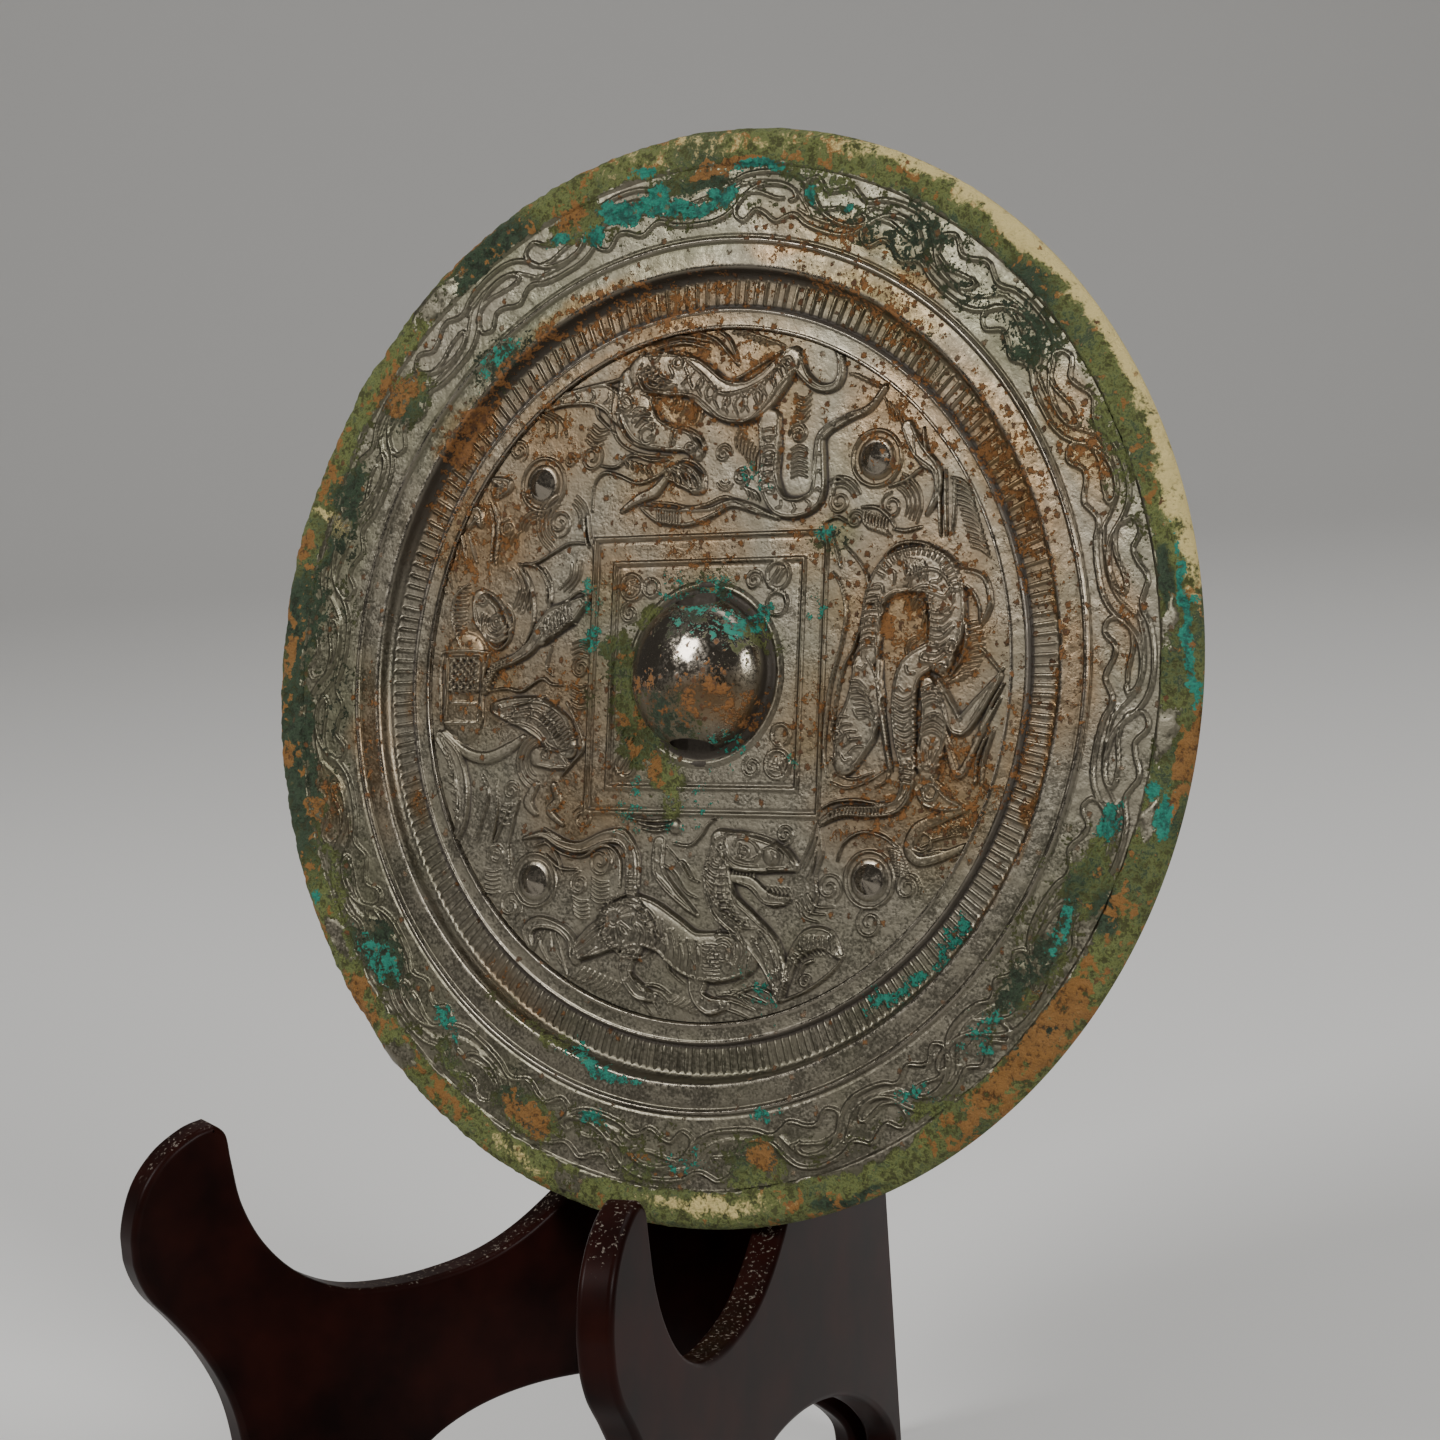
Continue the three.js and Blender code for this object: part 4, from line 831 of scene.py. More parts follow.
# Patches within the flat ring: place, radius and density.
FACE_PATCHES = {
    "earth": [
        (-10, 57, 20, 0.55), (8, 51, 17, 0.5), (-8, 47, 9, 0.62), (44, 10, 24, 0.52), (50, -20, 18, 0.5),
        (40, 44, 18, 0.45), (-50, 26, 20, 0.5), (-30, -5, 16, 0.4), (-50, 2, 18, 0.4), (-36, 44, 18, 0.42),
        (22, 24, 10, 0.35), (-2, 23, 14, 0.42), (24, -8, 14, 0.34), (-20, 18, 10, 0.36), (-55, 45, 8, 0.6),
        (-26, -24, 16, 0.34), (5, -4, 10, 0.72), (8, -7, 6, 0.7), (-4, -7, 6, 0.45), (-8, -2, 6, 0.5),
        (36, -24, 14, 0.4), (-10, 32, 16, 0.36),
    ],
    "olive": [
        (-17, 1, 6.5, 0.95), (-15.6, -6, 6.5, 1), (-12.5, -13, 7, 1), (-8, -18, 6.5, 0.95),
        (-6, -22.5, 4.4, 0.62),
        (-20, 4, 4.5, 0.8), (-24, 6, 4, 0.42), (-13, 9, 5, 0.6), (25, 24, 5, 0.4), (0, 11.5, 10, 0.55),
        (12, 6, 6, 0.5), (-25, -4, 4, 0.4), (-2, -9, 9, 0.62), (-10, -5, 5, 0.5), (2, 14, 4, 0.7),
    ],
    "turquoise": [
        (1, 12.5, 8, 0.5), (-7, 15.4, 5, 0.46), (8, 8, 6, 0.42), (6, -13, 6, 0.42), (24.6, 25, 3.4, 0.6),
        (-24, 8, 4, 0.55), (-25, 14, 5, 0.45),
        (11, 9, 4, 0.6), (25, 11, 5, 0.42), (20, -14, 5, 0.36), (-16, -24, 7, 0.36), (-2, -24, 8, 0.34),
        (10, 36, 6, 0.36), (13, -56, 8, 0.3),
    ],
    "deep": [(-22, 2, 8, 0.5), (-24, 12, 8, 0.6), (-16, -5, 12, 0.2), (26, 25, 5, 0.8), (0, 12, 9, 0.9),
             (-1, -8, 8, 0.9)],
    "ochre": [(-15, -9, 8, 0.5), (-8, -18, 7, 0.5), (-18, 2, 5, 0.4)],
}


def density(kind, x, y):
    """How densely a kind of corrosion covers each point: the greatest over its patches of
    strength times a smooth fall from the middle to the edge of an ellipse, the points first
    moved about by noise so that no edge is even."""
    x = x + 6 * (mottle(x, y, 6.0, 11) - 0.5)
    y = y + 6 * (mottle(x, y, 6.0, 13) - 0.5)
    radius = np.hypot(x, y)
    angle = np.degrees(np.arctan2(y, x))
    total = 0.0 * radius
    for middle, ring, spread, half, strength in RIM_PATCHES.get(kind, ()):
        away = np.hypot(((angle - middle + 180) % 360 - 180) / spread, (radius - ring) / half)
        total = np.maximum(total, strength * step_up(1 - away, -0.15, 0.8))
    for x0, y0, reach, strength in FACE_PATCHES.get(kind, ()):
        away = np.hypot(x - x0, y - y0) / reach
        total = np.maximum(total, strength * step_up(1 - away, -0.15, 0.8))
    return total


def patina(x, y, hollow, rise):
    """Densities for each point of the face, by where it lies and how sunk it is: crust holds
    earth, olive, turquoise and ochre; wear holds the hollows' painted shade and dirt, polish, deep, and the pale crust
    and painted edge highlight."""
    radius = np.hypot(x, y)
    broad = mottle(x, y, 12.0, 7, 2)
    coarse = mottle(x, y, 3.6, 5, 2)
    # The hollow mark is painted shade beside raised parts, together with the dirt lying there.
    sunk = np.clip(hollow, 0, 1)
    proud = step_up(rise, 0.3, 0.8) * step_up(radius, 15, 17)
    swirl = 0.5 * (broad + coarse) - 0.5

    border = step_up(radius + 2.4 * swirl, 91.0, 92.6)
    olive = np.maximum(border * 0.98, density("olive", x, y) * (0.9 + 0.8 * swirl))
    olive = olive * (1 - density("bare", x, y))
    earth = np.clip(density("earth", x, y) * (0.85 + 0.8 * swirl + 0.5 * sunk - 0.45 * proud), 0, 1)
    turquoise = np.clip(density("turquoise", x, y) * (1 + 0.4 * swirl), 0, 1)
    unpaled = density("ochre", x, y) * (1 - 0.8 * np.clip(density("pale", x, y), 0, 1))
    ochre = np.clip(np.maximum(unpaled, 0.3 * border) * (1 + 1.2 * swirl), 0, 1)
    deep = np.clip(density("deep", x, y) + 0.8 * (broad - 0.5), 0, 1)
    upper = step_up(y - 0.3 * x + 6 * swirl, -5, 1)
    rubbed = step_up(14.6 - radius, 0, 1.5) * step_up(rise, 1.5, 3.0) * (0.2 + 0.8 * upper)
    boss = sum(step_up(3.4 - np.hypot(x - x0, y - y0), 0, 0.8) for x0, y0 in NIPPLES)
    ridges = sum(step_up(0.45 - np.abs(radius - ring), 0, 0.3) for ring in (62.5, 65.7, 73.2, 77.9))
    polish = np.maximum(rubbed, np.maximum(0.12 * proud, np.maximum(0.8 * boss, ridges * (0.2 + 0.8 * coarse))))
    crust = np.stack([earth, olive, turquoise, ochre], -1)
    wear = np.stack([sunk, polish, deep, density("pale", x, y)], -1)
    return {"crust": crust, "wear": wear}


# ---- Materials -----------------------------------------------------------------------------------


def link(tree, source, target):
    """Joins an output socket to an input socket."""
    tree.links.new(source, target)


def node(tree, kind, place, **settings):
    """A node of a kind at a place in the tree, with its settings and its unlinked inputs."""
    made = tree.nodes.new(kind)
    made.location = place
    inputs = settings.pop("inputs", {})
    for key, value in settings.items():
        setattr(made, key, value)
    for key, value in inputs.items():
        made.inputs[key].default_value = value
    return made


def mix(tree, factor, first, second, place, blend="MIX"):
    """Two colours mixed by a factor; each is a socket or a fixed colour."""
    made = node(tree, "ShaderNodeMix", place, data_type="RGBA", blend_type=blend)
    for socket, value in ((made.inputs[0], factor), (made.inputs[6], first), (made.inputs[7], second)):
        if isinstance(value, bpy.types.NodeSocket):
            link(tree, value, socket)
        else:
            socket.default_value = value
    return made.outputs[2]


def sums(tree, operation, place, *values, clamp=False):
    """A Math node fed with sockets or numbers."""
    made = node(tree, "ShaderNodeMath", place, operation=operation, use_clamp=clamp)
    for socket, value in zip(made.inputs, values):
        if isinstance(value, bpy.types.NodeSocket):
            link(tree, value, socket)
        else:
            socket.default_value = value
    return made.outputs[0]


def ramp(tree, value, low, high, place, out=(0.0, 1.0), smoothly=True):
    """A value mapped from one range to another, smoothly or in a straight line."""
    made = node(tree, "ShaderNodeMapRange", place, interpolation_type="SMOOTHSTEP" if smoothly else "LINEAR",
                inputs={1: low, 2: high, 3: out[0], 4: out[1]})
    link(tree, value, made.inputs[0])
    return made.outputs[0]


def group_tree(name, inputs, outputs):
    """A new shader node group with named sockets, and its two end nodes."""
    tree = bpy.data.node_groups.new(name, "ShaderNodeTree")
    for label, kind, value in inputs:
        socket = tree.interface.new_socket(label, in_out="INPUT", socket_type=kind)
        socket.default_value = value
    for label, kind in outputs:
        tree.interface.new_socket(label, in_out="OUTPUT", socket_type=kind)
    return tree, node(tree, "NodeGroupInput", (-1200, 0)), node(tree, "NodeGroupOutput", (900, 0))


def grain_group():
    """Noise in the object's own space at three sizes, each spread out to fill 0 to 1."""
    tree, start, end = group_tree(
        "Grain",
        [("Coarse Scale", "NodeSocketFloat", 120.0), ("Medium Scale", "NodeSocketFloat", 500.0),
         ("Fine Scale", "NodeSocketFloat", 1800.0)],
        [("Coarse", "NodeSocketFloat"), ("Medium", "NodeSocketFloat"), ("Fine", "NodeSocketFloat")],
    )
    coords = node(tree, "ShaderNodeTexCoord", (-900, 0))
    for row, label in enumerate(("Coarse", "Medium", "Fine")):
        noise = node(tree, "ShaderNodeTexNoise", (-500, 300 - 300 * row),
                     inputs={"Detail": 3.0, "Roughness": 0.6})
        link(tree, coords.outputs["Object"], noise.inputs["Vector"])
        link(tree, start.outputs[label + " Scale"], noise.inputs["Scale"])
        spread = ramp(tree, noise.outputs["Fac"], 0.34, 0.66, (-200, 300 - 300 * row), smoothly=False)
        link(tree, spread, end.inputs[label])
    return tree


def crust_group(colours):
    """Corrosion over bronze, with painted shade and dirt in its hollows: colour, roughness, metal and
    height from the piece's own densities. Each kind of corrosion stands where the noise is above one less its density."""
    tree, start, end = group_tree(
        "Bronze Patina",
        [("Coarse", "NodeSocketFloat", 0.5), ("Medium", "NodeSocketFloat", 0.5),
         ("Fine", "NodeSocketFloat", 0.5)],
        [("Color", "NodeSocketColor"), ("Roughness", "NodeSocketFloat"), ("Metallic", "NodeSocketFloat"),
         ("Height", "NodeSocketFloat")],
    )
    coarse, medium, fine = (start.outputs[label] for label in ("Coarse", "Medium", "Fine"))
    crust = node(tree, "ShaderNodeAttribute", (-1500, 400), attribute_name="crust")
    wear = node(tree, "ShaderNodeAttribute", (-1500, -400), attribute_name="wear")
    parts = node(tree, "ShaderNodeSeparateColor", (-1300, 400))
    worn = node(tree, "ShaderNodeSeparateColor", (-1300, -400))
    link(tree, crust.outputs["Color"], parts.inputs[0])
    link(tree, wear.outputs["Color"], worn.inputs[0])
    blend = sums(tree, "ADD", (-1150, 100), sums(tree, "MULTIPLY", (-1300, 100), medium, 0.6),
                 sums(tree, "MULTIPLY", (-1300, 0), fine, 0.4))
    flip = sums(tree, "SUBTRACT", (-1150, -60), 1.0, blend)
    coords = node(tree, "ShaderNodeTexCoord", (-1900, 900))
    cells = node(tree, "ShaderNodeTexVoronoi", (-1700, 900), inputs={"Scale": 560.0, "Randomness": 1.0})
    link(tree, coords.outputs["Object"], cells.inputs["Vector"])
    chance = node(tree, "ShaderNodeSeparateColor", (-1500, 1000))
    link(tree, cells.outputs["Color"], chance.inputs[0])
    ragged = sums(tree, "ADD", (-1500, 850), cells.outputs["Distance"], sums(tree, "MULTIPLY", (-1650, 750), fine, 0.3))
    present = ramp(tree, sums(tree, "SUBTRACT", (-1350, 1000), parts.outputs[0], chance.outputs[0]), -0.1, 0.0,
                   (-1200, 1000))
    clods = sums(tree, "MULTIPLY", (-1000, 950), present, ramp(tree, ragged, 0.36, 0.5, (-1200, 850), (1.0, 0.0)))
    masks = []
    thin = sums(tree, "MULTIPLY", (-1150, 500), parts.outputs[0], 0.86)
    clumps = sums(tree, "ADD", (-1150, 700), sums(tree, "MULTIPLY", (-1300, 700), coarse, 0.45),
                  sums(tree, "MULTIPLY", (-1300, 800), medium, 0.55))
    for k, (source, grain) in enumerate(((thin, blend), (parts.outputs[1], flip),
                                         (parts.outputs[2], blend), (crust.outputs["Alpha"], clumps))):
        level = sums(tree, "ADD", (-950, 600 - 150 * k), source, grain)
        masks.append(ramp(tree, level, 0.96, 1.06, (-750, 600 - 150 * k)))
    earth, olive, turquoise, ochre = masks
    earth = sums(tree, "MAXIMUM", (-600, 750), earth, clods)
    hollow, polish, deep, pale = worn.outputs[0], worn.outputs[1], worn.outputs[2], wear.outputs["Alpha"]

    metal = mix(tree, fine, colours["dark_metal"], colours["light_metal"], (-600, -200))
    metal = mix(tree, ramp(tree, coarse, 0.2, 0.9, (-750, -350), (0.15, 0.6)), metal, colours["metal"],
                (-450, -200))
    metal = mix(tree, sums(tree, "MULTIPLY", (-600, -420), parts.outputs[0], 1.5, clamp=True), metal,
                colours["stained"], (-300, -200))
    tint = sums(tree, "MAXIMUM", (-450, -560), parts.outputs[1], sums(tree, "MULTIPLY", (-600, -560), deep, 0.8))
    metal = mix(tree, sums(tree, "MULTIPLY", (-300, -560), tint, 0.9, clamp=True), metal, colours["tinted"],
                (-220, -260))
    # Painted shade and dirt: the hollows take the dark hollow colour.
    metal = mix(tree, ramp(tree, hollow, 0.05, 0.8, (-450, -420)), metal, colours["hollow"], (-150, -200))
    metal = mix(tree, polish, metal, colours["polished"], (0, -200))

    green = mix(tree, ramp(tree, sums(tree, "ADD", (-600, 250), deep, blend), 0.42, 1.0, (-450, 250)),
                colours["olive"], colours["deep_olive"], (-300, 300))
    green = mix(tree, ochre, green, colours["ochre"], (-150, 300))
    green = mix(tree, ramp(tree, blend, 0.2, 0.52, (-150, 450), (0.85, 0.0)), green, colours["pit"],
                (0, 300), "MULTIPLY")
    # Pale cream: crust, and the painted highlight on the upper right of the edge.
    green = mix(tree, ramp(tree, sums(tree, "ADD", (-600, 400), pale, blend), 0.8, 1.3, (-450, 400)),
                green, colours["pale"], (150, 300))
    colour = mix(tree, olive, metal, green, (300, 0))
    blue = mix(tree, ramp(tree, blend, 0.25, 0.8, (150, 400)), colours["deep_turquoise"],
               colours["turquoise"], (300, 300))
    colour = mix(tree, turquoise, colour, blue, (450, 0))
    soil = mix(tree, ramp(tree, blend, 0.2, 0.75, (300, 450)), colours["dark_earth"],
               colours["earth"], (450, 300))
    colour = mix(tree, earth, colour, soil, (600, 0))
    link(tree, colour, end.inputs["Color"])

    cover = sums(tree, "MAXIMUM", (-150, -600), olive, turquoise)
    cover = sums(tree, "MAXIMUM", (0, -600), cover, sums(tree, "MULTIPLY", (-150, -750), earth, 0.9))
    # The hollows' painted shade and dirt also make the metal less metallic and rougher.
    dirt_and_shade = sums(tree, "MULTIPLY", (0, -750), ramp(tree, hollow, 0.1, 1.0, (-150, -900)), 0.5)
    link(tree, sums(tree, "SUBTRACT", (300, -600), 0.96,
                    sums(tree, "MULTIPLY", (150, -600), sums(tree, "MAXIMUM", (80, -650), cover, dirt_and_shade), 0.96)),
         end.inputs["Metallic"])
    rough = ramp(tree, sums(tree, "ADD", (-150, -1050), coarse, fine), 0.5, 1.5, (0, -1050), (0.31, 0.48))
    rough = sums(tree, "SUBTRACT", (150, -1050), rough, sums(tree, "MULTIPLY", (0, -1200), polish, 0.22))
    link(tree, sums(tree, "ADD", (450, -900), rough,
                    sums(tree, "MULTIPLY", (300, -900), sums(tree, "MAXIMUM", (150, -900), cover, dirt_and_shade), 0.5),
                    clamp=True), end.inputs["Roughness"])
    lumps = sums(tree, "ADD", (150, -1350), sums(tree, "MULTIPLY", (0, -1350), coarse, 0.5), blend)
    raised = sums(tree, "MULTIPLY", (300, -1200), sums(tree, "ADD", (150, -1200), cover, 0.05), lumps)
    smoothed = sums(tree, "MULTIPLY", (450, -1200), raised,
                    sums(tree, "SUBTRACT", (300, -1350), 1.0, sums(tree, "MULTIPLY", (150, -1350), polish, 0.85)))
    link(tree, smoothed, end.inputs["Height"])
    return tree


def bronze(colours):
    """Cast tin bronze under its patina, with painted shade and dirt in its hollows."""
    material = bpy.data.materials.new("patinated_bronze")
    material.use_nodes = True
    tree = material.node_tree
    shader = tree.nodes["Principled BSDF"]
    grain = node(tree, "ShaderNodeGroup", (-700, 0), node_tree=grain_group(),
                 inputs={"Coarse Scale": 140.0, "Medium Scale": 520.0, "Fine Scale": 1900.0})
    skin = node(tree, "ShaderNodeGroup", (-450, 0), node_tree=crust_group(colours))
    for label in ("Coarse", "Medium", "Fine"):
        link(tree, grain.outputs[label], skin.inputs[label])
    bump = node(tree, "ShaderNodeBump", (-220, -250), inputs={"Strength": 0.8, "Distance": 0.0009})
    link(tree, skin.outputs["Height"], bump.inputs["Height"])
    link(tree, skin.outputs["Color"], shader.inputs["Base Color"])
    link(tree, skin.outputs["Metallic"], shader.inputs["Metallic"])
    link(tree, skin.outputs["Roughness"], shader.inputs["Roughness"])
    link(tree, bump.outputs["Normal"], shader.inputs["Normal"])
    return material


def lacquer(colours):
    """Dark red-brown lacquer over wood, with dust lying on what faces up."""
    material = bpy.data.materials.new("dark_lacquer")
    material.use_nodes = True
    tree = material.node_tree
    shader = tree.nodes["Principled BSDF"]
    grain = node(tree, "ShaderNodeGroup", (-900, 0),
                 node_tree=bpy.data.node_groups.get("Grain") or grain_group(),
                 inputs={"Coarse Scale": 60.0, "Medium Scale": 300.0, "Fine Scale": 1300.0})
    wood = mix(tree, grain.outputs["Coarse"], colours["lacquer"], colours["lacquer_light"], (-500, 100))
    facing = node(tree, "ShaderNodeNewGeometry", (-900, -300))
    upright = node(tree, "ShaderNodeSeparateXYZ", (-700, -300))
    link(tree, facing.outputs["Normal"], upright.inputs[0])
    lying = ramp(tree, upright.outputs["Z"], 0.3, 0.9, (-500, -300), (0.0, 0.34))
    speck = sums(tree, "ADD", (-400, -450), grain.outputs["Fine"], lying)
    dust = ramp(tree, speck, 1.12, 1.3, (-250, -350))
    link(tree, mix(tree, dust, wood, colours["dust"], (-250, 100)), shader.inputs["Base Color"])
    link(tree, ramp(tree, dust, 0.0, 1.0, (-50, -150), (0.34, 0.8)), shader.inputs["Roughness"])
    shader.inputs["Specular IOR Level"].default_value = 0.05
    shader.inputs["Coat Weight"].default_value = 0.012
    shader.inputs["Coat Roughness"].default_value = 0.16
    return material


# ---- Settings ------------------------------------------------------------------------------------


def colour_setting(name, description, default):
    """A colour that a user can change."""
    return bpy.props.FloatVectorProperty(name=name, description=description, subtype="COLOR", size=4,
                                         min=0, max=1, default=(*default, 1.0))


class MirrorSettings(bpy.types.PropertyGroup):
    """Sizes and colours of the bronze disc."""
    figure_rise: bpy.props.FloatProperty(
        name="Figure rise", description="Share of their full height that the figures stand at", default=1.0,
        min=0.2, max=1.5, subtype="FACTOR")
    teeth: bpy.props.IntProperty(
        name="Comb teeth", description="Radial teeth in the comb round the field", default=235, min=60, max=360)
    scrolls: bpy.props.IntProperty(
        name="Cloud scrolls", description="Pairs of cloud scrolls round the rim", default=18, min=6, max=36)
    crust_depth: bpy.props.FloatProperty(
        name="Crust depth", description="How far the corrosion stands up on the border", default=0.0008,
        min=0, max=0.001, unit="LENGTH")
    metal: colour_setting("Metal", "Pewter-coloured bronze", (0.16, 0.142, 0.104))
    light_metal: colour_setting("Light metal", "Cleaner bronze", (0.225, 0.203, 0.155))
    dark_metal: colour_setting("Dark metal", "Tarnished bronze", (0.105, 0.093, 0.07))
    stained: colour_setting("Stained metal", "Bronze tinted by earth", (0.16, 0.088, 0.032))
    tinted: colour_setting("Tinted metal", "Bronze turned green-grey", (0.08, 0.085, 0.042))
    # Colour of the hollows: painted shade and dirt.
    hollow: colour_setting("Hollows", "Bronze in the sunk places", (0.045, 0.036, 0.026))
    polished: colour_setting("Polished", "Handled bronze of the knob", (0.21, 0.185, 0.15))
    earth: colour_setting("Earth", "Orange-brown burial earth", (0.23, 0.10, 0.026))
    dark_earth: colour_setting("Dark earth", "Darker burial earth", (0.095, 0.042, 0.015))
    olive: colour_setting("Olive", "Yellow-green corrosion", (0.155, 0.178, 0.05))
    deep_olive: colour_setting("Deep olive", "Darker green corrosion", (0.035, 0.058, 0.028))
    pit: colour_setting("Pits", "Shade in the pits of the crust", (0.25, 0.22, 0.15))
    turquoise: colour_setting("Turquoise", "Bright copper carbonate", (0.018, 0.23, 0.16))
    deep_turquoise: colour_setting("Deep turquoise", "Darker copper carbonate", (0.012, 0.085, 0.065))
    ochre: colour_setting("Ochre", "Rusty ochre in the crust", (0.25, 0.12, 0.03))
    # Pale cream: crust on the edge, and the painted highlight on its upper right.
    pale: colour_setting("Pale crust", "Cream crust on the edge", (0.66, 0.53, 0.22))


class StandSettings(bpy.types.PropertyGroup):
    """Sizes and colours of the wooden stand."""
    arris: bpy.props.FloatProperty(
        name="Arris", description="Radius that the boards' edges are rounded to", default=0.0012,
        min=0.0002, max=0.003, unit="LENGTH")
    lacquer: colour_setting("Lacquer", "Very dark red-brown lacquer", (0.008, 0.003, 0.0025))
    lacquer_light: colour_setting("Thin lacquer", "Lacquer where it is thin", (0.022, 0.0055, 0.004))
    dust: colour_setting("Dust", "Dust on the upper edges", (0.16, 0.135, 0.11))


def colours_of(settings):
    """The colour settings as tuples by name."""
    return {key: tuple(getattr(settings, key)) for key in settings.__annotations__
            if hasattr(getattr(settings, key), "__len__")}


def bronze_material(context):
    """The bronze, made once."""
    return bpy.data.materials.get("patinated_bronze") or bronze(colours_of(context.scene.mirror_settings))


def lacquer_material(context):
    """The lacquer, made once."""
    return bpy.data.materials.get("dark_lacquer") or lacquer(colours_of(context.scene.stand_settings))


# ---- The disc's pieces ---------------------------------------------------------------------------


def add_ring(name, x, y, w, colours, context, pieces=1):
    """A ring of the disc's face from grids of face coordinates and heights, in equal pieces."""
    top = placed(x, y, w)
    normals = grid_normals(top, True)
    under = placed(x, y, np.full_like(w, UNDER))[[0, -1]]
    cols = x.shape[1]
    for k in range(pieces):
        if pieces == 1:
            pick, label = np.arange(cols), name
        else:
            pick = np.arange(k * cols // pieces, (k + 1) * cols // pieces + 1) % cols
            label = f"{name}_{k + 1}"
        piece = shell(label, top[:, pick], normals[:, pick], under[:, pick],
                      {key: value[:, pick] for key, value in colours.items()}, pieces == 1)
        finish_piece(piece, bronze_material(context), "mirror")


def square_edge(angle, half):
    """Where a ray at an angle leaves a square: half / the greater of |cos| and |sin|."""
    return half / np.maximum(np.abs(np.cos(angle)), np.abs(np.sin(angle)))


class MIRROR_OT_field(bpy.types.Operator):
    """Build the figured field and the square round the knob"""
    bl_idname = "mirror.build_field"
    bl_label = "Field and figures"

    def execute(self, context):
        relief = field_relief()
        relief.height *= context.scene.mirror_settings.figure_rise
        level, around = relief.height, 0.5 * (relief.blur(0.9) + relief.blur(2.4))
        quarter = np.arange(0, 360) / 360 * 2 - 1
        side = np.concatenate([np.arctan(quarter) + k * math.pi / 2 for k in range(4)])
        parts = [
            ("field_panel", np.linspace(0, 1, 161), side, square_edge(side, 25.9),
             np.full_like(side, FIELD_RADIUS), 4),
            ("knob_square", np.linspace(0, 1, 49), np.concatenate(
                [np.arctan(np.arange(0, 150) / 150 * 2 - 1) + k * math.pi / 2 for k in range(4)]),
             None, None, 1),
        ]
        for name, t, angle, near_edge, far_edge, pieces in parts:
            if near_edge is None:
                near_edge, far_edge = np.full_like(angle, KNOB_FOOT), square_edge(angle, 25.9)
            far_angle = angle
            if name == "field_panel":
                far_angle = np.concatenate([quarter * math.pi / 4 + k * math.pi / 2 for k in range(4)])
            blend = t[:, None]
            x = near_edge * np.cos(angle) * (1 - blend) + far_edge * np.cos(far_angle) * blend
            y = near_edge * np.sin(angle) * (1 - blend) + far_edge * np.sin(far_angle) * blend
            rise = relief.at(level, x, y)
            # Painted shade and dirt: ground lower than the mean height around it, next to raised figures, is marked
            # hollow.
            hollow = np.clip((relief.at(around, x, y) - rise) * 2.8, 0, 1)
            grit = (mottle(x, y, 1.6, 31) - 0.5) * 0.05
            add_ring(name, x, y, FIELD + rise + grit, patina(x, y, hollow, rise), context, pieces)
        return {"FINISHED"}


# Half sizes of the cord hole's oval and the height of its middle above the field.
HOLE_HALF_WIDTH = 4.5
HOLE_HALF_HEIGHT = 2.6
HOLE_LIFT = 2.95


def cord_tunnel():
    """A cutter through the knob: an oval (half width cos a, half height sin a) drawn along the
    face's y."""
    angle = np.linspace(0, 2 * math.pi, 64, endpoint=False)
    reach = np.array([-18.0, 18.0])[:, None]
    points = placed(HOLE_HALF_WIDTH * np.cos(angle) + 0 * reach, reach + 0 * angle,
                    FIELD + HOLE_LIFT + HOLE_HALF_HEIGHT * np.sin(angle) + 0 * reach)
    loop = np.concatenate([np.arange(64), [0]])
    faces = [[a, a + 64, b + 64, b] for a, b in zip(loop[:-1].tolist(), loop[1:].tolist())]
    faces += [list(range(64)), list(range(127, 63, -1))]
    mesh = bpy.data.meshes.new("cord_tunnel")
    mesh.from_pydata(points.reshape(-1, 3).tolist(), [], faces)
    # Painted shade: the cutter's faces become the hole's walls, marked bare and fully hollow so that they come out
    # dark.
    for label, value in (("crust", (0.0, 0, 0, 0)), ("wear", (1, 0, 0, 0))):
        layer = mesh.attributes.new(label, "FLOAT_COLOR", "POINT")
        layer.data.foreach_set("color", np.tile(np.array(value, np.float32), 128))
    return add_object("cord_tunnel", mesh)


def paint_tunnel_shade(mesh):
    """Paints shade into the cord hole: marks as bare and fully hollow, so dark, the vertices on
    and inside the tunnel's oval, where (x / half width)^2 + (w / half height)^2 is at most about 1 round its middle
    line."""
    points = np.empty(3 * len(mesh.vertices), np.float32)
    mesh.vertices.foreach_get("co", points)
    points = (points.reshape(-1, 3) - CENTRE) / MM
    upright = points[:, 1] * math.sin(LEAN) + points[:, 2] * math.cos(LEAN)
    across = points[:, 0] * math.cos(SPIN) + upright * math.sin(SPIN)
    out = points[:, 2] * math.sin(LEAN) - points[:, 1] * math.cos(LEAN) - FIELD - HOLE_LIFT
    inside = (across / HOLE_HALF_WIDTH) ** 2 + (out / HOLE_HALF_HEIGHT) ** 2 < 1.02
    for label, value in (("crust", (0.0, 0, 0, 0)), ("wear", (1, 0, 0, 0))):
        layer = mesh.attributes[label].data
        values = np.empty(4 * len(layer), np.float32)
        layer.foreach_get("color", values)
        values = values.reshape(-1, 4)
        values[inside] = value
        layer.foreach_set("color", values.ravel())


def bore(piece, cutter):
    """Takes the cutter out of a piece, then the cutter away."""
    cut = piece.modifiers.new("bore", "BOOLEAN")
    cut.object, cut.operation, cut.solver = cutter, "DIFFERENCE", "EXACT"
    bpy.context.view_layer.update()
    graph = bpy.context.evaluated_depsgraph_get()
    mesh = bpy.data.meshes.new_from_object(piece.evaluated_get(graph))
    piece.modifiers.clear()
    piece.data = mesh
    if "custom_normal" in mesh.attributes:
        mesh.attributes.remove(mesh.attributes["custom_normal"])
    paint_tunnel_shade(mesh)
    mesh.set_sharp_from_angle(angle=math.radians(50))
    bpy.data.objects.remove(cutter)


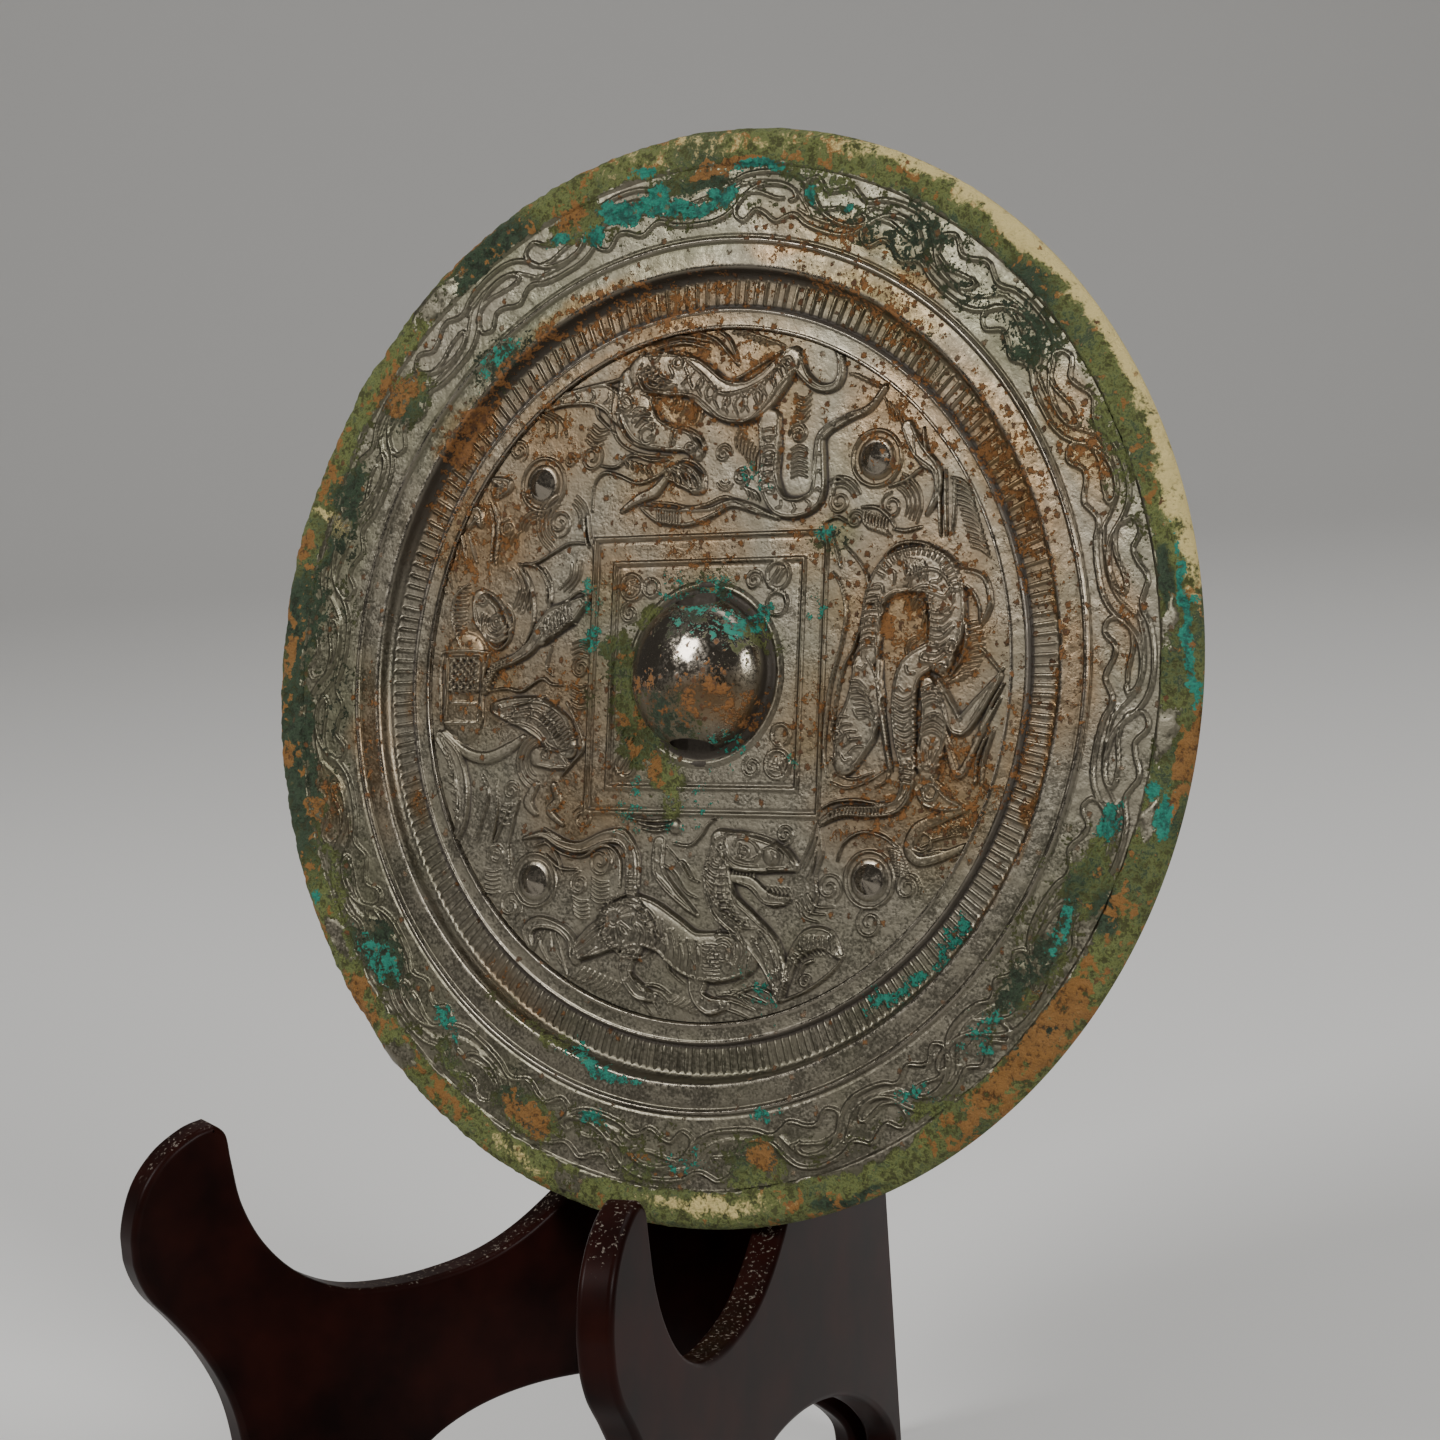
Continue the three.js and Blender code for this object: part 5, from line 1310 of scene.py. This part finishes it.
class MIRROR_OT_knob(bpy.types.Operator):
    """Build the pierced knob"""
    bl_idname = "mirror.build_knob"
    bl_label = "Pierced knob"

    def execute(self, context):
        swing = np.linspace(0, math.pi / 2, 44)
        radius = np.concatenate([[0.05], 14 * np.sin(swing[1:]),
                                 [14.2, 14.7, 15.2, 15.5, 15.8, 16.1, 16.4, 16.7, KNOB_FOOT]])
        level = np.concatenate([[9.6], 1 + 8.6 * np.cos(swing[1:]),
                                [0.7, 0.3, 0.15, 0.25, 0.45, 0.5, 0.4, 0.15, 0.0]])
        angle = np.linspace(0, 2 * math.pi, 240, endpoint=False)
        x, y = radius[:, None] * np.cos(angle), radius[:, None] * np.sin(angle)
        w = FIELD + level[:, None] + (mottle(x, y, 2.5, 41) - 0.5) * 0.12
        # Painted shade and dirt in the moat round the knob's foot.
        hollow = step_up(radius, 13.4, 14.2)[:, None] * step_up(15.8 - radius, 0, 0.8)[:, None] + 0 * x
        knob = shell("knob", placed(x, y, w), grid_normals(placed(x, y, w), True),
                     placed(x, y, np.full_like(w, UNDER))[[0, -1]], patina(x, y, hollow, w - FIELD), True)
        bore(knob, cord_tunnel())
        finish_piece(knob, bronze_material(context), "mirror")
        return {"FINISHED"}


class MIRROR_OT_comb(bpy.types.Operator):
    """Build the flat ring, the comb and the slope up to the rim"""
    bl_idname = "mirror.build_comb"
    bl_label = "Ring and comb"

    def execute(self, context):
        teeth = context.scene.mirror_settings.teeth
        profile = np.array([
            (61.9, 2.0), (62.15, 1.95), (62.3, 2.7), (62.5, 3.15), (62.75, 2.85), (63.2, 2.75), (64.2, 2.8),
            (65.1, 2.75), (65.45, 2.85), (65.7, 3.15), (65.95, 2.6), (66.15, 2.1), (66.5, 2.15), (66.9, 2.2),
            (67.8, 2.2), (68.8, 2.2), (69.8, 2.2), (70.6, 2.2),
            (71.0, 2.2), (71.4, 2.3), (71.8, 2.6), (72.1, 3.0), (72.3, 3.5), (72.45, 4.0), (72.6, 4.5),
            (72.85, 4.95), (73.3, 5.1), (73.7, 5.05), (74.3, 5.05), (75.0, 5.0), (76.0, 5.0), (77.0, 4.95),
            (77.2, 4.8),
            (77.4, 5.1), (77.65, 5.4), (77.9, 5.5), (78.15, 5.4), (78.4, 5.1), (78.6, 4.8), (78.8, 4.95),
            (79.2, 5.0),
        ])
        angle = np.linspace(0, 2 * math.pi, int(7.4 * teeth), endpoint=False)
        radius = profile[:, :1] + 0 * angle
        x, y = radius * np.cos(angle), radius * np.sin(angle)
        beat = teeth * (angle - 0.16 * np.sin(angle - 2.1)) + 1.2 * mottle(np.degrees(angle), 0 * angle, 6.0, 51)
        tooth = step_up(np.cos(beat), 0.62, 0.99)
        inside = step_up(radius, 66.3, 66.8) * step_up(71.2 - radius, 0, 0.5)
        rise = 0.42 * tooth * inside
        w = profile[:, 1:] + rise + (mottle(x, y, 1.5, 52) - 0.5) * 0.1
        # Painted shade and dirt between the teeth and in the groove at 66.2 mm.
        hollow = inside * (1 - tooth) * 0.32 + 0.9 * step_up(0.8 - np.abs(radius - 66.2), 0, 0.6)
        # Painted shade: the slope at 72 mm is darkened only round the upper side of the disc (115 ± 75 degrees).
        hollow = hollow + 0.7 * step_up(1.5 - np.abs(radius - 72.0), 0, 1.0) * region(np.degrees(angle), 115, 75)
        add_ring("comb_ring", x, y, w, patina(x, y, hollow, rise), context)
        return {"FINISHED"}


# Where the lower line's scrolls begin, in degrees round the rim; the casting spaces them unevenly.
SCROLL_HEADS = (211.5, 191, 169.5, 149, 128.3, 107.5, 86.5, 67.5, 47, 26.8, 5.8, -15, -34.5, -50, -66.5,
                -88, -107, -129, -148.5)

# One scroll of a cloud line: height, widths, and a path of degrees onward and millimetres outward.
SCROLL = [
    (0.55, (0.7, 0.95, 0.95, 1.0, 1.0, 1.0, 0.8), [
        (0, -1.9), (-0.1, -3.4), (1, -4.4), (1.8, -4), (2.6, -2.8), (3.3, -2.4), (4.6, -3), (5.6, -3.9),
        (6.6, -4.2), (7.6, -3.4), (8.6, -2.7), (9.6, -2.9), (11, -3.9), (13.5, -4.5), (16.5, -4.4),
        (18.5, -3.4), (20, -1.6), (21.2, 0.5), (22.6, 1.8), (24.4, 2.4), (26.4, 2.2), (27.6, 1.3),
        (27.9, 0.1), (27.2, -0.3)]),
    (0.45, (0.8, 0.8, 0.6),
     [(0, -1.9), (0.3, -0.4), (1.6, 0.5), (3, 0.8), (4.5, 0.3), (6, -0.2), (6.9, -0.1)]),
    (0.3, (0.5, 0.7, 0.5), [(9.4, -1.6), (12, -2.6), (15, -2.8), (17.4, -1.8), (19, 0.2), (20.6, 2.6)]),
]


def band_relief(scrolls):
    """The cloud scrolls, drawn on the band rolled out flat: x runs along the circle of
    BAND_RADIUS and y is the radius. Each lower scroll has a mirrored one half a step on."""
    relief = Relief(-5, 78, 2 * math.pi * BAND_RADIUS + 15, 15, 0.1)
    places = np.arange(scrolls + 1) * (len(SCROLL_HEADS) - 1) / scrolls
    heads = np.interp(places, np.arange(len(SCROLL_HEADS)), SCROLL_HEADS)
    for here, onward in zip(heads[:-1], heads[1:]):
        stretch = (here - onward) * scrolls / 360
        for start, side in ((here, 1), ((here + onward) / 2, -1)):
            start %= 360
            for turn in (0, 360) if start < 30 else (0,):
                for height, widths, path in SCROLL:
                    relief.bar([(BAND_RADIUS * math.radians(start + turn - a * stretch), 85.7 + side * b)
                                for a, b in path], 0.78 * np.array(widths), height)
    return relief


class MIRROR_OT_rim(bpy.types.Operator):
    """Build the rim's band of cloud scrolls"""
    bl_idname = "mirror.build_rim"
    bl_label = "Cloud scrolls"

    def execute(self, context):
        relief = band_relief(context.scene.mirror_settings.scrolls)
        level, around = relief.height, 0.5 * (relief.blur(0.9) + relief.blur(2.4))
        angle = np.linspace(0, 2 * math.pi, 1600, endpoint=False)
        radius = np.linspace(79.15, 91.3, 49)[:, None] + 0 * angle
        x, y = radius * np.cos(angle), radius * np.sin(angle)
        rolled = BAND_RADIUS * angle + 0 * radius
        rise = relief.at(level, rolled, radius)
        # Painted shade and dirt beside the raised scrolls.
        hollow = np.clip((relief.at(around, rolled, radius) - rise) * 2.6, 0, 1)
        colours = patina(x, y, hollow, rise)
        crust = colours["crust"][..., 1]
        w = RIM_TOP + rise * (1 - 0.4 * crust) + crust * 0.25 * mottle(x, y, 1.6, 61)
        w = w + (mottle(x, y, 1.5, 62) - 0.5) * 0.08
        add_ring("scroll_band", x, y, w, colours, context)
        return {"FINISHED"}


class MIRROR_OT_border(bpy.types.Operator):
    """Build the crusted border, the disc's edge and the plain back"""
    bl_idname = "mirror.build_border"
    bl_label = "Border, edge and back"

    def execute(self, context):
        profile = np.array([
            (91.2, 5.0), (91.45, 5.05), (91.7, 5.35), (91.95, 5.5),
            *((r, 5.5) for r in np.arange(92.3, 96.3, 0.35)),
            (96.5, 5.42), (96.8, 5.3), (97.1, 5.15), (97.4, 4.95), (97.7, 4.75), (97.95, 4.5), (98.15, 4.25),
            (98.35, 4.0), (98.45, 3.6), (98.3, 3.0), (98.0, 2.2), (97.6, 1.4), (97.2, 0.7), (96.9, 0.3),
            (96.5, 0.08), (95.5, 0.02), (92.0, 0.02), (85.0, 0.02), (75.0, 0.02), (60.0, 0.02), (40.0, 0.02),
            (20.0, 0.02), (0.05, 0.02),
        ])
        angle = np.linspace(0, 2 * math.pi, 1280, endpoint=False)
        radius = profile[:, :1] + 0 * angle
        x, y = radius * np.cos(angle), radius * np.sin(angle)
        colours = patina(x, y, 0 * x, 0 * x)
        depth = context.scene.mirror_settings.crust_depth / MM
        front = (np.arange(len(profile)) < len(profile) - 14)[:, None]
        crust = colours["crust"][..., 1] * front
        lump = crust * depth * (mottle(x, y, 1.5, 71, 2) * 1.2 + mottle(x, y, 5.0, 72, 1) - 1.35)
        w = profile[:, 1:] + lump
        worn = 1 - 0.005 * crust * step_up(radius, 96.5, 98.2) * mottle(x, y, 2.2, 73, 2)
        x, y = x * worn, y * worn
        back = ~front & (profile[:, 1:] < 0.1)
        for mask in (0, 1, 2, 3):
            colours["crust"][..., mask] *= np.where(back, 0.0, 1.0)
        top = placed(x, y, w)
        under = placed(x, y, np.full_like(w, UNDER))[[0, -1]]
        piece = shell("border_and_back", top, grid_normals(top, True), under, colours, True)
        finish_piece(piece, bronze_material(context), "mirror")
        return {"FINISHED"}


# ---- The stand -----------------------------------------------------------------------------------

BOARD_THICKNESS = 6.2
BOARD_TOP = 148.0
BOARD_HALF_ANGLE = 18.5  # degrees between a board and the V's middle line
BOARD_SLOPE = math.tan(LEAN) / math.cos(math.radians(BOARD_HALF_ANGLE))
BOARD_CLEARANCE = 0.35
BOARD_TURN = -2.9  # degrees that the V is turned by
BOARD_MEETING = (0.7, 35.99)  # where the boards' rear edges come together, from the disc's centre


def board_outline():
    """A board's outline as distance forward of the rear edge and height, anticlockwise: the post,
    the seat's hollow, the hook, the neck, the foot and the arch."""
    def front(z):
        return 63.2 - BOARD_SLOPE * (z - 68.2)

    top = BOARD_TOP
    arch = [(4.6, 0), (5.4, 5.5), (10, 11), (19, 17.8), (31, 24.4), (45, 29.8), (60, 33.6), (75, 35.3), (88, 34.2),
            (98.5, 30), (104.5, 22.5), (107.5, 12), (108, 0)]
    hook = [(139.5, 0), (136.4, 11), (134.2, 22), (133.4, 33), (133.6, 42), (135.3, 50.5), (139, 59),
            (143.5, 66), (148, 72.2), (150, 78.5), (149.6, 84.5), (147, 91), (142.5, 95.8), (137, 98.6),
            (133, 99.3)]
    seat = [(133, 99.3), (130.8, 97), (130.2, 92), (129, 84), (125.5, 76), (119.5, 69), (111, 64), (101, 61.8),
            (91, 61.4), (82, 62.2), (74, 64.6), (66.4, 68.4), (front(71.2), 71.2)]
    post = [(front(top - 9), top - 9), (front(top) - 1.5, top - 2.5), (front(top) - 8, top)]
    rear = [(10, top), (2.8, top - 2.8), (0, top - 10)]
    path = [(0.0, 0.0), *smooth(arch, 10), *smooth(hook, 8), *smooth(seat, 8)[1:], *smooth(post, 6),
            *smooth(rear, 6)]
    line = np.array(path)
    keep = np.hypot(*np.diff(np.vstack([line, line[:1]]), axis=0).T) > 0.05
    return np.minimum(line[keep], [150.0, 1e3])


def board_mesh(name, side, arris):
    """A flat board with rounded arrises: the outline is drawn in by a (1 - sin q) while the
    faces are a (1 - cos q) from the middle layer's ends, for q from 0 to a right angle."""
    outline = board_outline()
    ahead = np.roll(outline, -1, 0) - outline
    ahead /= np.linalg.norm(ahead, axis=1, keepdims=True)
    behind = np.roll(ahead, 1, 0)
    middle = ahead + behind
    middle /= np.linalg.norm(middle, axis=1, keepdims=True)
    inward = np.stack([-middle[:, 1], middle[:, 0]], -1)
    q = np.linspace(0, math.pi / 2, 7)
    inset = arris * (1 - np.cos(q))
    lift = BOARD_THICKNESS / 2 - arris + arris * np.sin(q)
    insets = np.concatenate([inset[::-1], inset])
    lifts = np.concatenate([-lift[::-1], lift])
    flat = outline[None] + inward[None] * insets[:, None, None]
    turn = math.radians(BOARD_TURN + side * BOARD_HALF_ANGLE)
    forward = np.array([math.sin(turn), -math.cos(turn), 0.0])
    left = np.cross(forward, [0, 0, 1])
    hinge = np.array([*BOARD_MEETING, 0.0]) * MM + [0, CENTRE[1], 0]
    shift = -side * (BOARD_THICKNESS + BOARD_CLEARANCE) / 2
    points = (hinge + MM * (flat[..., :1] * forward + flat[..., 1:] * np.array([0, 0, 1.0])
                            + (lifts + shift)[:, None, None] * left))
    rings, count = flat.shape[:2]
    index = np.arange(rings * count).reshape(rings, count)
    loop = np.concatenate([index, index[:, :1]], 1)
    quads = np.stack([loop[:-1, :-1], loop[:-1, 1:], loop[1:, 1:], loop[1:, :-1]], -1).reshape(-1, 4)
    cap = np.array(tessellate_polygon([[(*point, 0.0) for point in flat[0]]]))
    a, b, c = (flat[0][cap[:, k]] for k in range(3))
    clockwise = (b - a)[:, 0] * (c - a)[:, 1] < (b - a)[:, 1] * (c - a)[:, 0]
    cap[clockwise] = cap[clockwise][:, ::-1]
    faces = quads.tolist() + cap[:, ::-1].tolist() + (cap + index[-1, 0]).tolist()
    mesh = bpy.data.meshes.new(name)
    mesh.from_pydata(points.reshape(-1, 3).tolist(), [], faces)
    mesh.polygons.foreach_set("use_smooth", np.ones(len(faces), bool))
    swing = np.concatenate([-q[::-1], q])[:, None, None]
    outward = -inward[None]
    normals = (np.cos(swing) * (outward[..., :1] * forward + outward[..., 1:] * np.array([0, 0, 1.0]))
               + np.sin(swing) * left)
    mesh.normals_split_custom_set_from_vertices(normals.reshape(-1, 3).tolist())
    return add_object(name, mesh)


class MIRROR_OT_stand(bpy.types.Operator):
    """Build the two lacquered boards of the stand"""
    bl_idname = "mirror.build_stand"
    bl_label = "Lacquered stand"

    def execute(self, context):
        arris = context.scene.stand_settings.arris / MM
        for name, side in (("left", -1), ("right", 1)):
            board = board_mesh(f"lacquered_board_{name}", side, arris)
            finish_piece(board, lacquer_material(context), f"stand_board_{name}")
        return {"FINISHED"}


# ---- The stage -----------------------------------------------------------------------------------


class MIRROR_OT_stage(bpy.types.Operator):
    """Build the floor, the lights and the camera"""
    bl_idname = "mirror.build_stage"
    bl_label = "Floor, lights and camera"

    def execute(self, context):
        scene = context.scene
        azimuth, pitch, roll = math.radians(34.5), math.radians(11), math.radians(-4)
        bend = np.linspace(0, math.pi / 2, 17)
        away = np.concatenate([[-0.9], 1.3 + 0.8 * np.sin(bend), [2.1]])
        height = np.concatenate([[0.0], 0.8 - 0.8 * np.cos(bend), [2.4]]) - 0.0002
        across = np.array([-1.7, 0.0, 1.7])[:, None]
        points = np.stack([across * math.cos(azimuth) - away * math.sin(azimuth),
                           across * math.sin(azimuth) + away * math.cos(azimuth), height + 0 * across], -1)
        index = np.arange(points.size // 3).reshape(points.shape[:2])
        quads = np.stack([index[:-1, :-1], index[1:, :-1], index[1:, 1:], index[:-1, 1:]], -1).reshape(-1, 4)
        mesh = bpy.data.meshes.new("floor")
        mesh.from_pydata(points.reshape(-1, 3).tolist(), [], quads.tolist())
        mesh.polygons.foreach_set("use_smooth", np.ones(len(quads), bool))
        floor = add_object("floor", mesh)
        paper = bpy.data.materials.new("pale_floor")
        paper.use_nodes = True
        shader = paper.node_tree.nodes["Principled BSDF"]
        shader.inputs["Base Color"].default_value = (0.8, 0.79, 0.77, 1)
        shader.inputs["Roughness"].default_value = 0.9
        floor.data.materials.append(paper)

        world = bpy.data.worlds.new("studio")
        world.use_nodes = True
        world.node_tree.nodes["Background"].inputs[0].default_value = (1.0, 0.97, 0.92, 1)
        world.node_tree.nodes["Background"].inputs[1].default_value = 0.1
        scene.world = world
        for label, power, size, place in (
            ("key_light", 12.5, 0.42, (-0.55, -0.95, 0.95)),
            ("side_light", 9, 0.38, (1.1, -0.35, 0.75)),
            ("top_light", 6, 0.8, (0.1, 0.5, 1.3)),
        ):
            lamp = bpy.data.lights.new(label, "AREA")
            lamp.energy = power
            lamp.size = size
            made = bpy.data.objects.new(label, lamp)
            made.location = place
            aim = Vector((0.0, 0.03, 0.16)) - made.location
            made.rotation_euler = aim.to_track_quat("-Z", "Y").to_euler()
            made.visible_camera = False
            scene.collection.objects.link(made)

        lens = bpy.data.cameras.new("camera")
        lens.lens = 82.144
        lens.sensor_width = 36
        camera = bpy.data.objects.new("camera", lens)
        ahead = np.array([-math.sin(azimuth) * math.cos(pitch), math.cos(azimuth) * math.cos(pitch),
                          -math.sin(pitch)])
        level = np.array([math.cos(azimuth), math.sin(azimuth), 0])
        down = np.cross(ahead, level)
        right = math.cos(roll) * level - math.sin(roll) * down
        top = -(math.sin(roll) * level + math.cos(roll) * down)
        turn = Matrix(np.stack([right, top, -ahead], 1).tolist()).to_4x4()
        camera.matrix_world = Matrix.Translation((0.3297, -0.4427, 0.2672)) @ turn
        lens.clip_start = 0.01
        scene.collection.objects.link(camera)
        scene.camera = camera
        return {"FINISHED"}


class MIRROR_PT_panel(bpy.types.Panel):
    """Lists the pieces and their settings"""
    bl_idname = "MIRROR_PT_panel"
    bl_label = "Bronze mirror"
    bl_space_type = "VIEW_3D"
    bl_region_type = "UI"
    bl_category = "Mirror"

    def draw(self, context):
        for operator in OPERATORS:
            self.layout.operator(operator.bl_idname)
        for settings in (context.scene.mirror_settings, context.scene.stand_settings):
            for key in settings.__annotations__:
                self.layout.prop(settings, key)


OPERATORS = (MIRROR_OT_field, MIRROR_OT_knob, MIRROR_OT_comb, MIRROR_OT_rim, MIRROR_OT_border,
             MIRROR_OT_stand, MIRROR_OT_stage)
CLASSES = (MirrorSettings, StandSettings, *OPERATORS, MIRROR_PT_panel)


def register():
    """Adds the classes and the scene's settings."""
    for cls in CLASSES:
        bpy.utils.register_class(cls)
    bpy.types.Scene.mirror_settings = bpy.props.PointerProperty(type=MirrorSettings)
    bpy.types.Scene.stand_settings = bpy.props.PointerProperty(type=StandSettings)


def unregister():
    """Takes them away again."""
    del bpy.types.Scene.mirror_settings
    del bpy.types.Scene.stand_settings
    for cls in reversed(CLASSES):
        bpy.utils.unregister_class(cls)


def main():
    """Builds every piece and the stage."""
    register()
    for operator in OPERATORS:
        group, name = operator.bl_idname.split(".")
        getattr(getattr(bpy.ops, group), name)()


if __name__ == "__main__":
    main()
